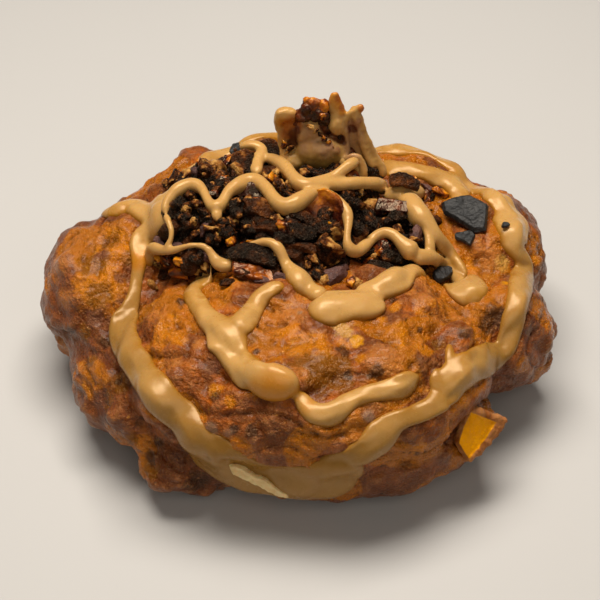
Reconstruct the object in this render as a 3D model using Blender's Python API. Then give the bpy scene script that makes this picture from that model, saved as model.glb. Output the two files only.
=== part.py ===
"""A bacon apple fritter at its real size, in metres, with Z up.

The origin is the middle of the flat spot that the fritter rests on, and its front looks along -Y.
Run it with: blender --background --python part.py
"""

import math
import random

import bmesh
import bpy
from mathutils import Matrix, Vector
from mathutils.bvhtree import BVHTree

MM = 0.001

# The dough is a ring of soft lobes pressed round a flat middle. Each lobe is an ellipsoid:
# centre, half sizes and yaw, in mm and degrees.
DOUGH_LOBES = {
    "middle": ((0, 4, 18), (50, 44, 21), 0),
    "base": ((0, 0, 11), (48, 45, 12), 0),
    "front_mound": ((2, -22, 25), (45, 34, 18), 0),
    "left_bulge": ((-50, 6, 21), (15.5, 22, 17), 6),
    "left_shoulder": ((-42, 13, 26), (13, 19, 14), 10),
    "left_skirt": ((-40, -19, 15), (15, 25, 13), 28),
    "left_foot": ((-26, -38, 9), (13, 11, 9), 20),
    "front_skirt": ((6, -39, 13), (35, 15, 11), 0),
    "right_skirt": ((28, -27, 14), (19, 15, 13), -35),
    "right_front": ((47, -7, 21), (15, 18, 15), 8),
    "right_knob": ((57, -7, 11), (6.5, 7, 7), 0),
    "right_bulge": ((45, 17, 23), (18, 23, 17), -12),
    "back_left": ((-24, 31, 26), (23, 17, 17), 25),
    "back_middle": ((-4, 37, 27), (26, 17, 17), 0),
    "back_right": ((27, 32, 25), (23, 17, 17), -28),
}
# Smaller lumps that stand out of the crust where the photograph shows them: plan position, half
# sizes, yaw and rise above the lobes, in mm and degrees.
DOUGH_KNOBS = {
    "left_patch": ((-32, -17), (10, 8, 5), 0, 2.0),
    "left_low_patch": ((-29, -33), (9, 9, 5), 0, 1.6),
    "fork_bump": ((-15, -12), (5, 4, 3), 0, 1.6),
    "mid_bump": ((-3, -15), (6, 6, 4), 0, 2.0),
    "apple_lump": ((-6, -42), (9.5, 6, 6), -12, 3.5),
    "right_ridge": ((29, -12), (15, 5, 5), -35, 2.4),
    "right_step": ((24, -22), (13, 6, 5), -30, 1.8),
    "right_cheek": ((38, -26), (8, 7, 5), 0, 2.2),
    "low_cheek": ((22, -37), (11, 8, 5), 0, 2.0),
    "front_swell": ((9, -52), (13, 7, 5), 0, 1.6),
    "right_apple": ((50, 6), (8, 8, 5), 0, 2.4),
    "right_crag": ((46, -14), (8, 8, 6), 0, 2.4),
}
# Lumps spread over the sides, seen from a point in the middle of the dough: their number, the seed
# of their sizes, the height of that point, how flat their spread is, their half sizes in mm, and the
# shares of a size that are their width and height.
RIM_KNOBS = 64
RIM_SEED = 7
RIM_CENTRE_HEIGHT = 20
RIM_REACH = 200 * MM
RIM_FLATNESS = 0.55
RIM_LEAST_SIDE = 0.5
RIM_LOWEST = 8 * MM
KNOB_SIZES = (3.5, 8.0)
KNOB_WIDTHS = (0.6, 1.0)
KNOB_HEIGHT = 0.6
KNOB_RISE = 1.5
# How finely the round pieces are made: subdivisions of the ball that each starts from.
LOBE_SUBDIVISIONS = 4
KNOB_SUBDIVISIONS = 3
SLAB_SUBDIVISIONS = 2
DOUGH_VOXEL = 1.1 * MM
FUSED_VOXEL = 0.8 * MM
CREASE_ROUNDS = 5
CREASE_SHARE = 0.5
SWELL_SCALE = 9 * MM
SWELL_DEPTH = 3.2 * MM
DOUGH_TRIANGLES = 8000

# The heap of bacon bits on top, as soft lobes that the bits stand on.
HEAP_LOBES = {
    "left": ((-20, 11, 38), (17, 18, 11), 0),
    "middle": ((-2, 10, 38), (19, 20, 12), 0),
    "back": ((-6, 26, 39), (26, 10, 9), 0),
    "crown_foot": ((7, 21, 43), (11, 8, 9), 0),
    "right": ((23, 10, 35), (12, 14, 8), 0),
}
HEAP_CORE_TRIANGLES = 400

# Drizzle poured in ropes: plan position and half width along each rope, in mm.
DOUGH_ROPES = {
    "ring": [
        (-49, 20, 2.0), (-44, 19, 2.4), (-38, 17, 3.0), (-38, 10, 2.5), (-39, 3, 2.4), (-40, -3, 1.8),
        (-41, -9, 2.8), (-43, -15, 3.4), (-42, -23, 3.8), (-38, -34, 4.0), (-31, -43, 4.2),
        (-24, -50, 4.8), (-14, -56, 6.0), (-4, -60, 6.3), (5, -60, 6.3), (12, -58, 6.0),
        (18, -53, 4.6), (23, -49, 3.5), (29, -45, 3.1), (33, -40, 3.8), (39, -35, 4.2),
        (46, -27, 4.4), (50, -20, 3.5), (53, -12, 3.2), (55, -1, 2.9), (55, 7, 2.5), (52, 14, 2.3),
        (49, 22, 2.2), (45, 30, 2.2), (37, 34, 2.2), (28, 37, 2.2), (22, 39, 2.0),
    ],
    "inner_ring": [
        (19, 37, 1.6), (26, 33, 1.8), (33, 30, 1.9), (41, 29, 1.8), (45, 24, 1.6), (42, 18, 1.3),
        (38, 14, 1.0),
    ],
    "back_band": [(-3, 44, 2.2), (-15, 41, 2.4), (-26, 36, 2.4), (-34, 28, 2.2), (-40, 20, 2.4)],
    "fork": [
        (-26, -7, 2.2), (-26, -11, 2.8), (-24, -17, 3.0), (-21, -25, 3.6), (-18, -32, 4.2), (-15, -38, 4.4),
        (-11, -43, 4.2), (-6, -46, 4.6), (0, -47, 4.0), (4, -49, 3.5), (8, -50, 3.2), (13, -49, 3.0),
        (20, -46, 3.0), (25, -43, 2.5), (28, -40, 1.4),
    ],
    "fork_arm": [(-3, -17, 1.6), (-6, -19, 2.6), (-9, -24, 3.2), (-12, -30, 3.5), (-15, -36, 3.4)],
    "blob": [
        (1, -23, 3.6), (6, -24, 4.5), (12, -23, 4.5), (17, -20, 4.0), (21, -15, 3.2), (26, -10, 2.9),
        (31, -4, 2.8), (35, 1, 2.5),
    ],
    "right_strand": [(32, 22, 2.2), (34, 16, 2.8), (36, 9, 2.8), (37, 4, 3.0), (39, 0, 2.4), (41, -4, 1.8)],
    "right_cross": [(44, 8, 1.4), (41, 5, 1.8), (37, 3, 2.0), (33, 0, 2.0)],
    "curl": [(37, 2, 1.8), (40, -1, 1.6), (42, -6, 1.8), (43, -11, 2.0), (40, -13, 1.8)],
    "spur": [(34, -38, 1.4), (34, -34, 1.5), (34, -30, 1.1)],
}
HEAP_ROPES = {
    "swag": [
        (-34, 7, 1.8), (-33, 12, 1.9), (-30, 16, 1.9), (-27, 18, 1.9), (-24, 15, 1.9), (-22, 10, 1.8),
        (-20, 6, 1.9), (-18, 9, 1.8), (-15, 13, 1.9), (-11, 16, 2.0), (-8, 12, 1.9), (-5, 8, 2.0),
        (-2, 6, 2.2), (2, 8, 1.9), (5, 12, 1.7), (8, 12, 1.6), (11, 9, 1.6), (12, 5, 1.5), (13, 1, 1.5),
        (13, -3, 1.6), (16, 0, 1.8), (19, 3, 1.9), (22, 4, 1.9), (24, 1, 1.9), (26, -1, 2.0), (30, -1, 2.0),
    ],
    "low_swag": [
        (-37, 3, 1.2), (-33, 0, 1.5), (-28, -1, 1.8), (-24, -2, 1.8), (-22, -4, 1.8), (-20, -7, 2.1),
        (-17, -7, 2.0), (-14, -5, 1.5), (-11, -3, 1.6), (-8, -3, 1.8), (-5, -6, 2.0), (-3, -10, 2.3),
        (0, -15, 2.5), (2, -18, 2.2),
    ],
    "back_right": [(10, 17, 1.8), (16, 20, 1.8), (21, 21, 1.9), (26, 21, 2.2), (31, 22, 2.0)],
    "back_left": [(-7, 25, 1.2), (-4, 20, 1.5), (0, 15, 1.8), (5, 15, 1.8), (9, 17, 1.8)],
}
# How a rope is laid: its sides round, the step between rings, its height as a share of its half
# width, how far it is lifted and sunk, and the rounds of smoothing of its path.
ON_DOUGH = {"sides": 8, "step": 4.0 * MM, "height": 0.72, "lift": 0.0, "sink": 1.2 * MM, "rounds": 0}
ON_HEAP = {"sides": 6, "step": 4.6 * MM, "height": 1.2, "lift": 1.2 * MM, "sink": 2.4 * MM, "rounds": 2}
LOOK_UP = 6 * MM
CURTAIN_HEIGHT = 17 * MM
ROPE_TIP = 0.15
ROPE_NORMAL_ROUNDS = 3
# A rope has three rings close together at each end, these shares of a step from it, for a round tip.
END_RINGS = (0.0, 0.08, 0.4)
CURVE_STEPS = 10
ROUNDING = 1e-9
# Plumb lines start from this height, well above the fritter.
SKY = 1.0

# Slabs of glazed bacon that stand up from the heap: foot, tip, half width and half thickness in mm.
CROWN_SLABS = {
    "left": ((-4.5, 21, 48), (-3, 25.5, 63), 2.8, 2.6),
    "left_head": ((-6, 25, 61.5), (0.5, 26, 63.5), 2.4, 2.4),
    "middle": ((4, 20, 48), (3, 25.5, 62), 5.4, 3.6),
    "middle_head": ((-0.5, 25.5, 61), (7, 26.5, 66.5), 3.2, 2.8),
    "tip": ((7.5, 22, 50), (8.8, 27.5, 69), 2.3, 1.9),
    "right": ((12, 19, 46), (14.5, 26.5, 66), 3.1, 2.0),
    "rib": ((21, 23, 42), (15.5, 26, 65), 2.0, 1.5),
    "strand": ((-1, 14, 48), (12, 21, 54), 1.9, 1.7),
}
SLAB_SQUARENESS = 0.7
# Bits that stand out in the photograph: plan position, half length, width and thickness, rise of
# the middle above the heap, yaw and pitch, in mm and degrees.
HERO_BITS = {
    "left_cluster": ((-26, 8), (5.5, 4.5, 4.0), 2.0, 20, 0),
    "left_crumb": ((-25, 14), (3.2, 2.8, 2.4), 1.5, 60, 0),
    "dark_red": ((-10, 20), (3.4, 2.6, 2.2), 1.5, 10, 20),
    "nut": ((-5, 22), (3.2, 2.4, 2.6), 2.5, 70, 0),
    "orange_chip": ((6, 9), (4.2, 4.6, 1.6), 1.2, 10, 50),
    "crumbly_chip": ((9, 0), (3.2, 3.4, 2.6), 2.5, 30, 40),
    "black_flake": ((-11, -5), (6.0, 3.4, 1.5), 2.5, -15, 20),
    "low_cluster": ((-28, -5), (5.0, 3.6, 3.2), 1.5, -5, 0),
    "purple_cluster": ((8, -8), (4.6, 3.6, 2.8), 1.5, 15, 10),
    "back_crumb": ((-21, 26), (3.4, 2.6, 2.6), 2.0, 40, 0),
    "back_brown": ((-14, 26), (3.6, 2.6, 3.6), 2.5, 80, 0),
    "back_chip": ((-9, 33), (3.8, 2.6, 2.2), 2.0, 15, 0),
    "flat_chip": ((25, 26), (6.2, 2.4, 1.3), 3.0, 8, -10),
    "red_knob": ((30, 22), (2.6, 2.4, 2.2), 1.5, 0, 0),
    "hollow_bit": ((17, 8), (4.4, 3.0, 2.6), 0.5, 30, 0),
}
# Crumbs that lie on the dough, in the same terms.
DOUGH_CRUMBS = {
    "black_oval": ((33.5, -6), (3.4, 2.3, 2.0), 2.2, -35, 0),
    "small_chip": ((41, 5.5), (3.0, 2.4, 1.2), 2.6, 15, 20),
    "back_left_chip": ((-16, 36), (3.6, 2.8, 1.8), 1.4, 20, 0),
    "right_speck": ((50, 13), (1.4, 1.2, 1.0), 0.6, 0, 0),
}
BITS = 62
BIT_HALF_LENGTH = (2.2, 4.2)
BIT_SEED = 21
BIT_CLEAR = 0.6
# The shares of a bit's length that are its width and thickness, how much its corners are pushed in,
# how far it is tipped sideways and upwards, and how much of its thickness stands proud.
BIT_WIDTHS = (0.55, 0.8)
BIT_THICKNESSES = (0.4, 0.65)
BIT_CORNERS = (0.6, 1.0)
BIT_SIDEWAYS = (-1, 1)
BIT_UPWARDS = (0.8, 1.6)
BIT_RISE = 0.4
HERO_CLEARING = 0.6
HEAP_REACH = (36, 24)
HEAP_MIDDLE = (1, 11)
GOLDEN_ANGLE = 137.508

# A slate-grey chip of candied bacon beside the heap: its outline round the middle, in mm.
GREY_CHIP_OUTLINE = [
    (-7.5, -1), (-4.6, 3.6), (-2.4, 5), (3.2, 4.6), (7.4, -2.8), (5.2, -4.8), (-2, -3.8), (-5, -3.6),
]
GREY_CHIP_PLACE = (42.5, 14.5)
GREY_CHIP_THICK = 2.6
GREY_CHIP_RISE = 2.3
# The levels of a flat chip, as shares of its thickness, and how far its outline is drawn in at each.
PLATE_LEVELS = [(-0.5, 0.86), (0.0, 1.0), (0.5, 0.9)]
# A wedge of apple set in the side of the skirt: middle, length, width and depth in mm, the way
# that it runs and the way that its flat side faces.
APPLE_MIDDLE = (41.5, -37, 16)
APPLE_SIZE = (16, 9, 8)
APPLE_RUN = (-0.3, -0.45, -0.84)
APPLE_FACING = (0.55, -0.65, 0.2)
# Its section, as shares of the width and depth, and the size of the section along the length.
APPLE_SECTION = [
    (-0.5, 0.0), (-0.42, 0.32), (0.1, 0.5), (0.5, 0.3), (0.46, -0.2), (0.1, -0.5), (-0.3, -0.36),
]
APPLE_ENDS = [(-0.5, 0.5), (-0.34, 0.9), (0.0, 1.0), (0.3, 0.92), (0.5, 0.55)]
# A pale flake of crust stuck on the lower edge of the drizzle at the front.
FLAKE_PLACE = (-9.6, 16.5)
FLAKE_OUTLINE = [(-6, 1.6), (-2, 1.3), (6, -0.8), (5.5, -1.6), (0, -1.2), (-5, 0)]
FLAKE_THICK = 1.2
FLAKE_RISE = 0.5
# It is found by looking from this far in front, in mm.
FLAKE_LOOK_FROM = -90
GAP = 0.3 * MM
CORE_GAP = 1.0 * MM
CORE_CUTTER_TRIANGLES = 1400

# The finish of each piece: its material's name, colour and roughness.
FINISHES = {
    "dough": ("fried dough", (0.36, 0.13, 0.03), 0.55),
    "bacon_heap": ("candied bacon", (0.05, 0.018, 0.012), 0.35),
    "grey_chip": ("charred bacon", (0.055, 0.06, 0.07), 0.4),
    "apple_chunk": ("fried apple", (0.72, 0.42, 0.05), 0.35),
    "pale_flake": ("pale crust", (0.8, 0.62, 0.3), 0.6),
}


def clear_scene():
    for obj in list(bpy.data.objects):
        bpy.data.objects.remove(obj)


def material(name, colour, roughness):
    made = bpy.data.materials.new(name)
    made.use_nodes = True
    shader = made.node_tree.nodes["Principled BSDF"]
    shader.inputs["Base Color"].default_value = (*colour, 1.0)
    shader.inputs["Roughness"].default_value = roughness
    return made


def select_only(obj):
    bpy.ops.object.select_all(action="DESELECT")
    obj.select_set(True)
    bpy.context.view_layer.objects.active = obj


def apply_modifiers(obj):
    select_only(obj)
    for modifier in list(obj.modifiers):
        bpy.ops.object.modifier_apply(modifier=modifier.name)


def add_ellipsoid(name, centre, half, yaw, subdivisions=LOBE_SUBDIVISIONS):
    bpy.ops.mesh.primitive_ico_sphere_add(subdivisions=subdivisions, radius=1.0)
    obj = bpy.context.object
    obj.name = name
    shape = Matrix.Diagonal((*[h * MM for h in half], 1.0))
    turn = Matrix.Rotation(math.radians(yaw), 4, "Z")
    obj.data.transform(Matrix.Translation(Vector(centre) * MM) @ turn @ shape)
    return obj


def join(objects, name):
    bpy.ops.object.select_all(action="DESELECT")
    for obj in objects:
        obj.select_set(True)
    bpy.context.view_layer.objects.active = objects[0]
    bpy.ops.object.join()
    objects[0].name = name
    return objects[0]


def triangle_count(obj):
    obj.data.calc_loop_triangles()
    return len(obj.data.loop_triangles)


def reduce_to(obj, triangles):
    less = obj.modifiers.new("fewer faces", "DECIMATE")
    less.ratio = triangles / triangle_count(obj)
    apply_modifiers(obj)


def cut_flat_base(obj):
    """Cuts off what lies below the table and closes the cut with one flat face."""
    mesh = bmesh.new()
    mesh.from_mesh(obj.data)
    everything = mesh.verts[:] + mesh.edges[:] + mesh.faces[:]
    cut = bmesh.ops.bisect_plane(
        mesh, geom=everything, plane_co=(0, 0, 0), plane_no=(0, 0, -1), clear_outer=True
    )
    rim = [part for part in cut["geom_cut"] if isinstance(part, bmesh.types.BMEdge)]
    bmesh.ops.edgeloop_fill(mesh, edges=rim)
    bmesh.ops.recalc_face_normals(mesh, faces=mesh.faces[:])
    mesh.to_mesh(obj.data)
    mesh.free()


def surface_of(obj):
    return BVHTree.FromObject(obj, bpy.context.evaluated_depsgraph_get())


def drop(surface, x, y):
    """Where a plumb line at this plan position, in mm, first meets the surface, and the normal there."""
    above = Vector((x * MM, y * MM, SKY))
    point, normal, _, _ = surface.ray_cast(above, Vector((0, 0, -1)))
    return point, normal


def fuse(obj, voxel, rounds):
    remesh = obj.modifiers.new("fuse", "REMESH")
    remesh.mode = "VOXEL"
    remesh.voxel_size = voxel
    creases = obj.modifiers.new("soft creases", "SMOOTH")
    creases.factor = CREASE_SHARE
    creases.iterations = rounds
    apply_modifiers(obj)


def add_knob(name, point, normal, half, yaw, rise):
    """A lump whose crown stands `rise` mm proud of the surface at this point."""
    turn = normal.to_track_quat("Z", "Y").to_matrix().to_4x4() @ Matrix.Rotation(math.radians(yaw), 4, "Z")
    knob = add_ellipsoid(name, (0, 0, 0), half, 0, KNOB_SUBDIVISIONS)
    sunk = point - normal * (half[2] - rise) * MM
    knob.data.transform(Matrix.Translation(sunk) @ turn)
    return knob


def rim_knobs(surface):
    """Lumps spread evenly over the sides by the golden angle, with seeded sizes."""
    draw = random.Random(RIM_SEED)
    centre = Vector((0, 0, RIM_CENTRE_HEIGHT)) * MM
    knobs = []
    for count in range(RIM_KNOBS):
        height = 1 - 2 * (count + 0.5) / RIM_KNOBS
        angle = count * math.radians(GOLDEN_ANGLE)
        side = math.sqrt(1 - height * height)
        way = Vector((side * math.cos(angle), side * math.sin(angle), RIM_FLATNESS * height)).normalized()
        point, normal, _, _ = surface.ray_cast(centre + way * RIM_REACH, -way)
        size = draw.uniform(*KNOB_SIZES)
        half = (size, size * draw.uniform(*KNOB_WIDTHS), size * KNOB_HEIGHT)
        yaw = draw.uniform(0, 180)
        if point.z > RIM_LOWEST and side > RIM_LEAST_SIDE:
            knobs.append(add_knob(f"rim_{count}", point, normal, half, yaw, KNOB_RISE))
    return knobs


def make_dough():
    lobes = [add_ellipsoid(name, *sizes) for name, sizes in DOUGH_LOBES.items()]
    body = join(lobes, "dough")
    fuse(body, DOUGH_VOXEL, CREASE_ROUNDS)
    surface = surface_of(body)
    knobs = [
        add_knob(name, *drop(surface, *place), half, yaw, rise)
        for name, (place, half, yaw, rise) in DOUGH_KNOBS.items()
    ]
    dough = join([body, *knobs, *rim_knobs(surface)], "dough")
    fuse(dough, DOUGH_VOXEL, CREASE_ROUNDS)
    lumps = bpy.data.textures.new("lumps", "CLOUDS")
    lumps.noise_scale = SWELL_SCALE
    swell = dough.modifiers.new("swell", "DISPLACE")
    swell.texture = lumps
    swell.strength = SWELL_DEPTH
    apply_modifiers(dough)
    return dough


def make_heap_core():
    core = join([add_ellipsoid(name, *sizes) for name, sizes in HEAP_LOBES.items()], "bacon_heap")
    fuse(core, DOUGH_VOXEL, CREASE_ROUNDS)
    reduce_to(core, HEAP_CORE_TRIANGLES)
    return core


def between(a, b, c, d, t):
    """Point at t between b and c on the smooth curve that also passes a and d."""
    bend = 2 * a - 5 * b + 4 * c - d
    twist = 3 * b - a - 3 * c + d
    return 0.5 * (2 * b + (c - a) * t + bend * t**2 + twist * t**3)


def stations(points, spacing):
    """Even steps along the smooth curve through the plan points, each (x, y, half width) in metres."""
    knots = [Vector(point) * MM for point in points]
    knots = [2 * knots[0] - knots[1], *knots, 2 * knots[-1] - knots[-2]]
    fine = []
    for i in range(1, len(knots) - 2):
        around = knots[i - 1 : i + 3]
        fine += [between(*around, step / CURVE_STEPS) for step in range(CURVE_STEPS)]
    fine.append(knots[-2])
    length = sum((b.xy - a.xy).length for a, b in zip(fine, fine[1:]))
    count = max(3, round(length / spacing))
    near_ends = [share * spacing for share in END_RINGS]
    wanted = near_ends + [length - near for near in near_ends] + [length * i / count for i in range(1, count)]
    found = []
    walked = 0.0
    ahead = iter(sorted(wanted))
    target = next(ahead)
    for a, b in zip(fine, fine[1:]):
        step = (b.xy - a.xy).length
        while target is not None and target <= walked + step + ROUNDING:
            found.append((a.lerp(b, (target - walked) / step), min(target, length - target)))
            target = next(ahead, None)
        walked += step
    return found


def highest(surfaces, start, way):
    """The first surface met from start along way, as (point, normal), or None."""
    hits = [surface.ray_cast(start, way) for surface in surfaces]
    hits = [(distance, point, normal) for point, normal, _, distance in hits if point is not None]
    if not hits:
        return None
    _, point, normal = min(hits, key=lambda hit: hit[0])
    return point, normal


def land(surfaces, x, y):
    """Where drizzle poured at this plan position settles: below it, or on the nearest flank."""
    below = highest(surfaces, Vector((x, y, SKY)), Vector((0, 0, -1)))
    if below is None or below[0].z < CURTAIN_HEIGHT:
        nearest = surfaces[0].find_nearest(Vector((x, y, CURTAIN_HEIGHT)))
        below = nearest[:2]
    return below


def soften(values, rounds):
    for _ in range(rounds):
        values = [
            values[0],
            *[(a + 2 * b + c) / 4 for a, b, c in zip(values, values[1:], values[2:])],
            values[-1],
        ]
    return values


def add_rope(name, points, surfaces, laid):
    """A rope of drizzle laid along the plan points: an arched top, and a bottom sunk in what it lies on."""
    steps = stations(points, laid["step"])
    sides = laid["sides"]
    hits = [land(surfaces, step.x, step.y) for step, _ in steps]
    centres = soften([hit[0] for hit in hits], laid["rounds"])
    normals = soften([hit[1] for hit in hits], ROPE_NORMAL_ROUNDS)
    rings = []
    for i, (step, to_end) in enumerate(steps):
        ahead = centres[min(i + 1, len(steps) - 1)] - centres[max(i - 1, 0)]
        normal = normals[i].normalized()
        side = ahead.cross(normal).normalized()
        inside = min(1.0, to_end / step.z)
        taper = max(ROPE_TIP, math.sqrt(1 - (1 - inside) ** 2))
        half = step.z * taper
        ring = []
        for k in range(sides):
            turn = math.tau * k / sides
            across, up = math.cos(turn), math.sin(turn)
            place = centres[i] + side * half * across
            met = highest(surfaces, place + normal * LOOK_UP, -normal)
            if laid["rounds"] == 0 and met is not None and (met[0] - place).length < LOOK_UP:
                place = met[0]
            rise = step.z * laid["height"] * taper if up > 0 else laid["sink"]
            ring.append(place + normal * (laid["lift"] * taper + rise * up))
        rings.append(ring)
    mesh = bmesh.new()
    loops = [[mesh.verts.new(point) for point in ring] for ring in rings]
    for a, b in zip(loops, loops[1:]):
        for k in range(sides):
            mesh.faces.new((a[k], a[k - 1], b[k - 1], b[k]))
    for loop in (loops[0], loops[-1]):
        middle = mesh.verts.new(sum((vert.co for vert in loop), Vector()) / sides)
        for k in range(sides):
            mesh.faces.new((loop[k], loop[k - 1], middle))
    return finish(mesh, name)


def finish(mesh, name):
    bmesh.ops.recalc_face_normals(mesh, faces=mesh.faces[:])
    data = bpy.data.meshes.new(name)
    mesh.to_mesh(data)
    mesh.free()
    obj = bpy.data.objects.new(name, data)
    bpy.context.scene.collection.objects.link(obj)
    return obj


def add_bit(name, place, turn, sizes, draw):
    """A chip of bacon: the hull of a box's corners, each pushed in by a random share."""
    mesh = bmesh.new()
    for corner in range(8):
        signs = [1 if corner >> axis & 1 else -1 for axis in range(3)]
        mesh.verts.new([sign * size * draw.uniform(*BIT_CORNERS) for sign, size in zip(signs, sizes)])
    hull = bmesh.ops.convex_hull(mesh, input=mesh.verts[:])
    bmesh.ops.delete(mesh, geom=hull["geom_interior"], context="VERTS")
    bmesh.ops.transform(mesh, matrix=Matrix.Translation(place) @ turn, verts=mesh.verts[:])
    return finish(mesh, name)


def set_bits(named, surfaces, draw):
    """The bits that are placed one by one, each tipped from the surface that it stands on."""
    bits = []
    for name, (place, half, rise, yaw, pitch) in named.items():
        start = Vector((place[0] * MM, place[1] * MM, SKY))
        point, normal = highest(surfaces, start, Vector((0, 0, -1)))
        lean = (normal + Vector((0, 0, 1))).normalized().to_track_quat("Z", "Y").to_matrix().to_4x4()
        spin = Matrix.Rotation(math.radians(yaw), 4, "Z") @ Matrix.Rotation(math.radians(pitch), 4, "X")
        bits.append(add_bit(name, point + normal * rise * MM, lean @ spin, Vector(half) * MM, draw))
    return bits


def near_a_rope(place, ropes):
    return any((step.xy - place.xy).length < step.z + BIT_CLEAR * MM for step in ropes)


def scatter_bits(surface, draw):
    """Bits spread evenly over the heap by the golden angle, clear of the drizzle and of the set bits."""
    ropes = [
        step
        for points in [*HEAP_ROPES.values(), *DOUGH_ROPES.values()]
        for step, _ in stations(points, ON_DOUGH["step"])
    ]
    ropes += [Vector((*place, HERO_CLEARING * half[0])) * MM for place, half, *_ in HERO_BITS.values()]
    bits = []
    for count in range(BITS):
        reach = math.sqrt((count + 0.5) / BITS)
        angle = count * math.radians(GOLDEN_ANGLE)
        x = HEAP_MIDDLE[0] + HEAP_REACH[0] * reach * math.cos(angle)
        y = HEAP_MIDDLE[1] + HEAP_REACH[1] * reach * math.sin(angle)
        place, normal = drop(surface, x, y)
        length = draw.uniform(*BIT_HALF_LENGTH)
        width = length * draw.uniform(*BIT_WIDTHS)
        sizes = Vector((length, width, length * draw.uniform(*BIT_THICKNESSES))) * MM
        sideways = [draw.uniform(*BIT_SIDEWAYS) for _ in range(2)]
        tilt = Vector((*sideways, draw.uniform(*BIT_UPWARDS))).normalized()
        spin = Matrix.Rotation(draw.uniform(0, math.tau), 4, "Z")
        if place is None or near_a_rope(place, ropes):
            continue
        turn = (tilt + normal).to_track_quat("Z", "Y").to_matrix().to_4x4() @ spin
        bits.append(add_bit(f"bit_{count}", place + normal * sizes.z * BIT_RISE, turn, sizes, draw))
    return bits


def add_slab(name, foot, tip, half_width, half_thick):
    """A blunt slab from foot to tip."""
    foot = Vector(foot) * MM
    tip = Vector(tip) * MM
    bpy.ops.mesh.primitive_ico_sphere_add(subdivisions=SLAB_SUBDIVISIONS, radius=1.0)
    obj = bpy.context.object
    obj.name = name
    for vertex in obj.data.vertices:
        vertex.co = [math.copysign(abs(c) ** SLAB_SQUARENESS, c) for c in vertex.co]
    up = (tip - foot).normalized()
    across = up.cross(Vector((0, 1, 0))).normalized()
    back = up.cross(across)
    shape = Matrix((across * half_width * MM, back * half_thick * MM, (tip - foot) / 2)).transposed().to_4x4()
    obj.data.transform(Matrix.Translation((foot + tip) / 2) @ shape)
    return obj


def add_plate(name, outline, thick, place):
    """A flat chip with this outline, its edges drawn in a little above and below."""
    mesh = bmesh.new()
    rings = [
        [mesh.verts.new(Vector((x * share, y * share, thick * level)) * MM) for x, y in outline]
        for level, share in PLATE_LEVELS
    ]
    for a, b in zip(rings, rings[1:]):
        for k in range(len(outline)):
            mesh.faces.new((a[k - 1], a[k], b[k], b[k - 1]))
    mesh.faces.new(rings[0])
    mesh.faces.new(rings[-1])
    bmesh.ops.triangulate(mesh, faces=mesh.faces[:])
    bmesh.ops.transform(mesh, matrix=place, verts=mesh.verts[:])
    return finish(mesh, name)


def add_grey_chip(surface):
    point, normal = drop(surface, *GREY_CHIP_PLACE)
    lean = (normal + Vector((0, 0, 1))).normalized().to_track_quat("Z", "Y").to_matrix().to_4x4()
    place = Matrix.Translation(point + normal * GREY_CHIP_RISE * MM) @ lean
    return add_plate("grey_chip", GREY_CHIP_OUTLINE, GREY_CHIP_THICK, place)


def add_flake(surface):
    start = Vector((FLAKE_PLACE[0], FLAKE_LOOK_FROM, FLAKE_PLACE[1])) * MM
    point, normal, _, _ = surface.ray_cast(start, Vector((0, 1, 0)))
    lean = normal.to_track_quat("Z", "Y").to_matrix().to_4x4()
    place = Matrix.Translation(point + normal * FLAKE_THICK * FLAKE_RISE * MM) @ lean
    return add_plate("pale_flake", FLAKE_OUTLINE, FLAKE_THICK, place)


def add_apple():
    """A wedge with a flat side that shows, a thin upper edge and a rounded back."""
    length, width, depth = [size * MM for size in APPLE_SIZE]
    run = Vector(APPLE_RUN).normalized()
    out = Vector(APPLE_FACING)
    out = (out - run * out.dot(run)).normalized()
    across = out.cross(run)
    turn = Matrix((run, across, out)).transposed().to_4x4()
    mesh = bmesh.new()
    rings = [
        [mesh.verts.new((along * length, y * width * share, z * depth * share)) for y, z in APPLE_SECTION]
        for along, share in APPLE_ENDS
    ]
    for a, b in zip(rings, rings[1:]):
        for k in range(len(APPLE_SECTION)):
            mesh.faces.new((a[k - 1], a[k], b[k], b[k - 1]))
    mesh.faces.new(rings[0])
    mesh.faces.new(rings[-1])
    bmesh.ops.triangulate(mesh, faces=mesh.faces[:])
    place = Matrix.Translation(Vector(APPLE_MIDDLE) * MM) @ turn
    bmesh.ops.transform(mesh, matrix=place, verts=mesh.verts[:])
    return finish(mesh, "apple_chunk")


def unite(base, pieces):
    """Joins the pieces to the base by one union, and removes them."""
    group = bpy.data.collections.new("pieces")
    for piece in pieces:
        group.objects.link(piece)
    fusing = base.modifiers.new("fused on", "BOOLEAN")
    fusing.operation = "UNION"
    fusing.operand_type = "COLLECTION"
    fusing.collection = group
    fusing.solver = "MANIFOLD"
    apply_modifiers(base)
    for piece in pieces:
        bpy.data.objects.remove(piece)
    bpy.data.collections.remove(group)


def cut_clear(obj, neighbour, gap):
    """Cuts the neighbour and the gap round it out of this solid."""
    swollen = neighbour.copy()
    swollen.data = neighbour.data.copy()
    bpy.context.scene.collection.objects.link(swollen)
    for vertex in swollen.data.vertices:
        vertex.co += vertex.normal * gap
    clearing = obj.modifiers.new("clear of its neighbour", "BOOLEAN")
    clearing.operation = "DIFFERENCE"
    clearing.object = swollen
    clearing.solver = "MANIFOLD"
    apply_modifiers(obj)
    bpy.data.objects.remove(swollen)


def keep_largest(obj):
    """Drops loose scraps, and shells sealed inside, so that one body is left."""
    mesh = bmesh.new()
    mesh.from_mesh(obj.data)
    left = set(mesh.verts)
    bodies = []
    while left:
        start = left.pop()
        body = {start}
        queue = [start]
        while queue:
            for edge in queue.pop().link_edges:
                for vert in edge.verts:
                    if vert in left:
                        left.discard(vert)
                        body.add(vert)
                        queue.append(vert)
        bodies.append(body)
    bodies.sort(key=len)
    bmesh.ops.delete(mesh, geom=[vert for body in bodies[:-1] for vert in body], context="VERTS")
    mesh.to_mesh(obj.data)
    mesh.free()


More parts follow.
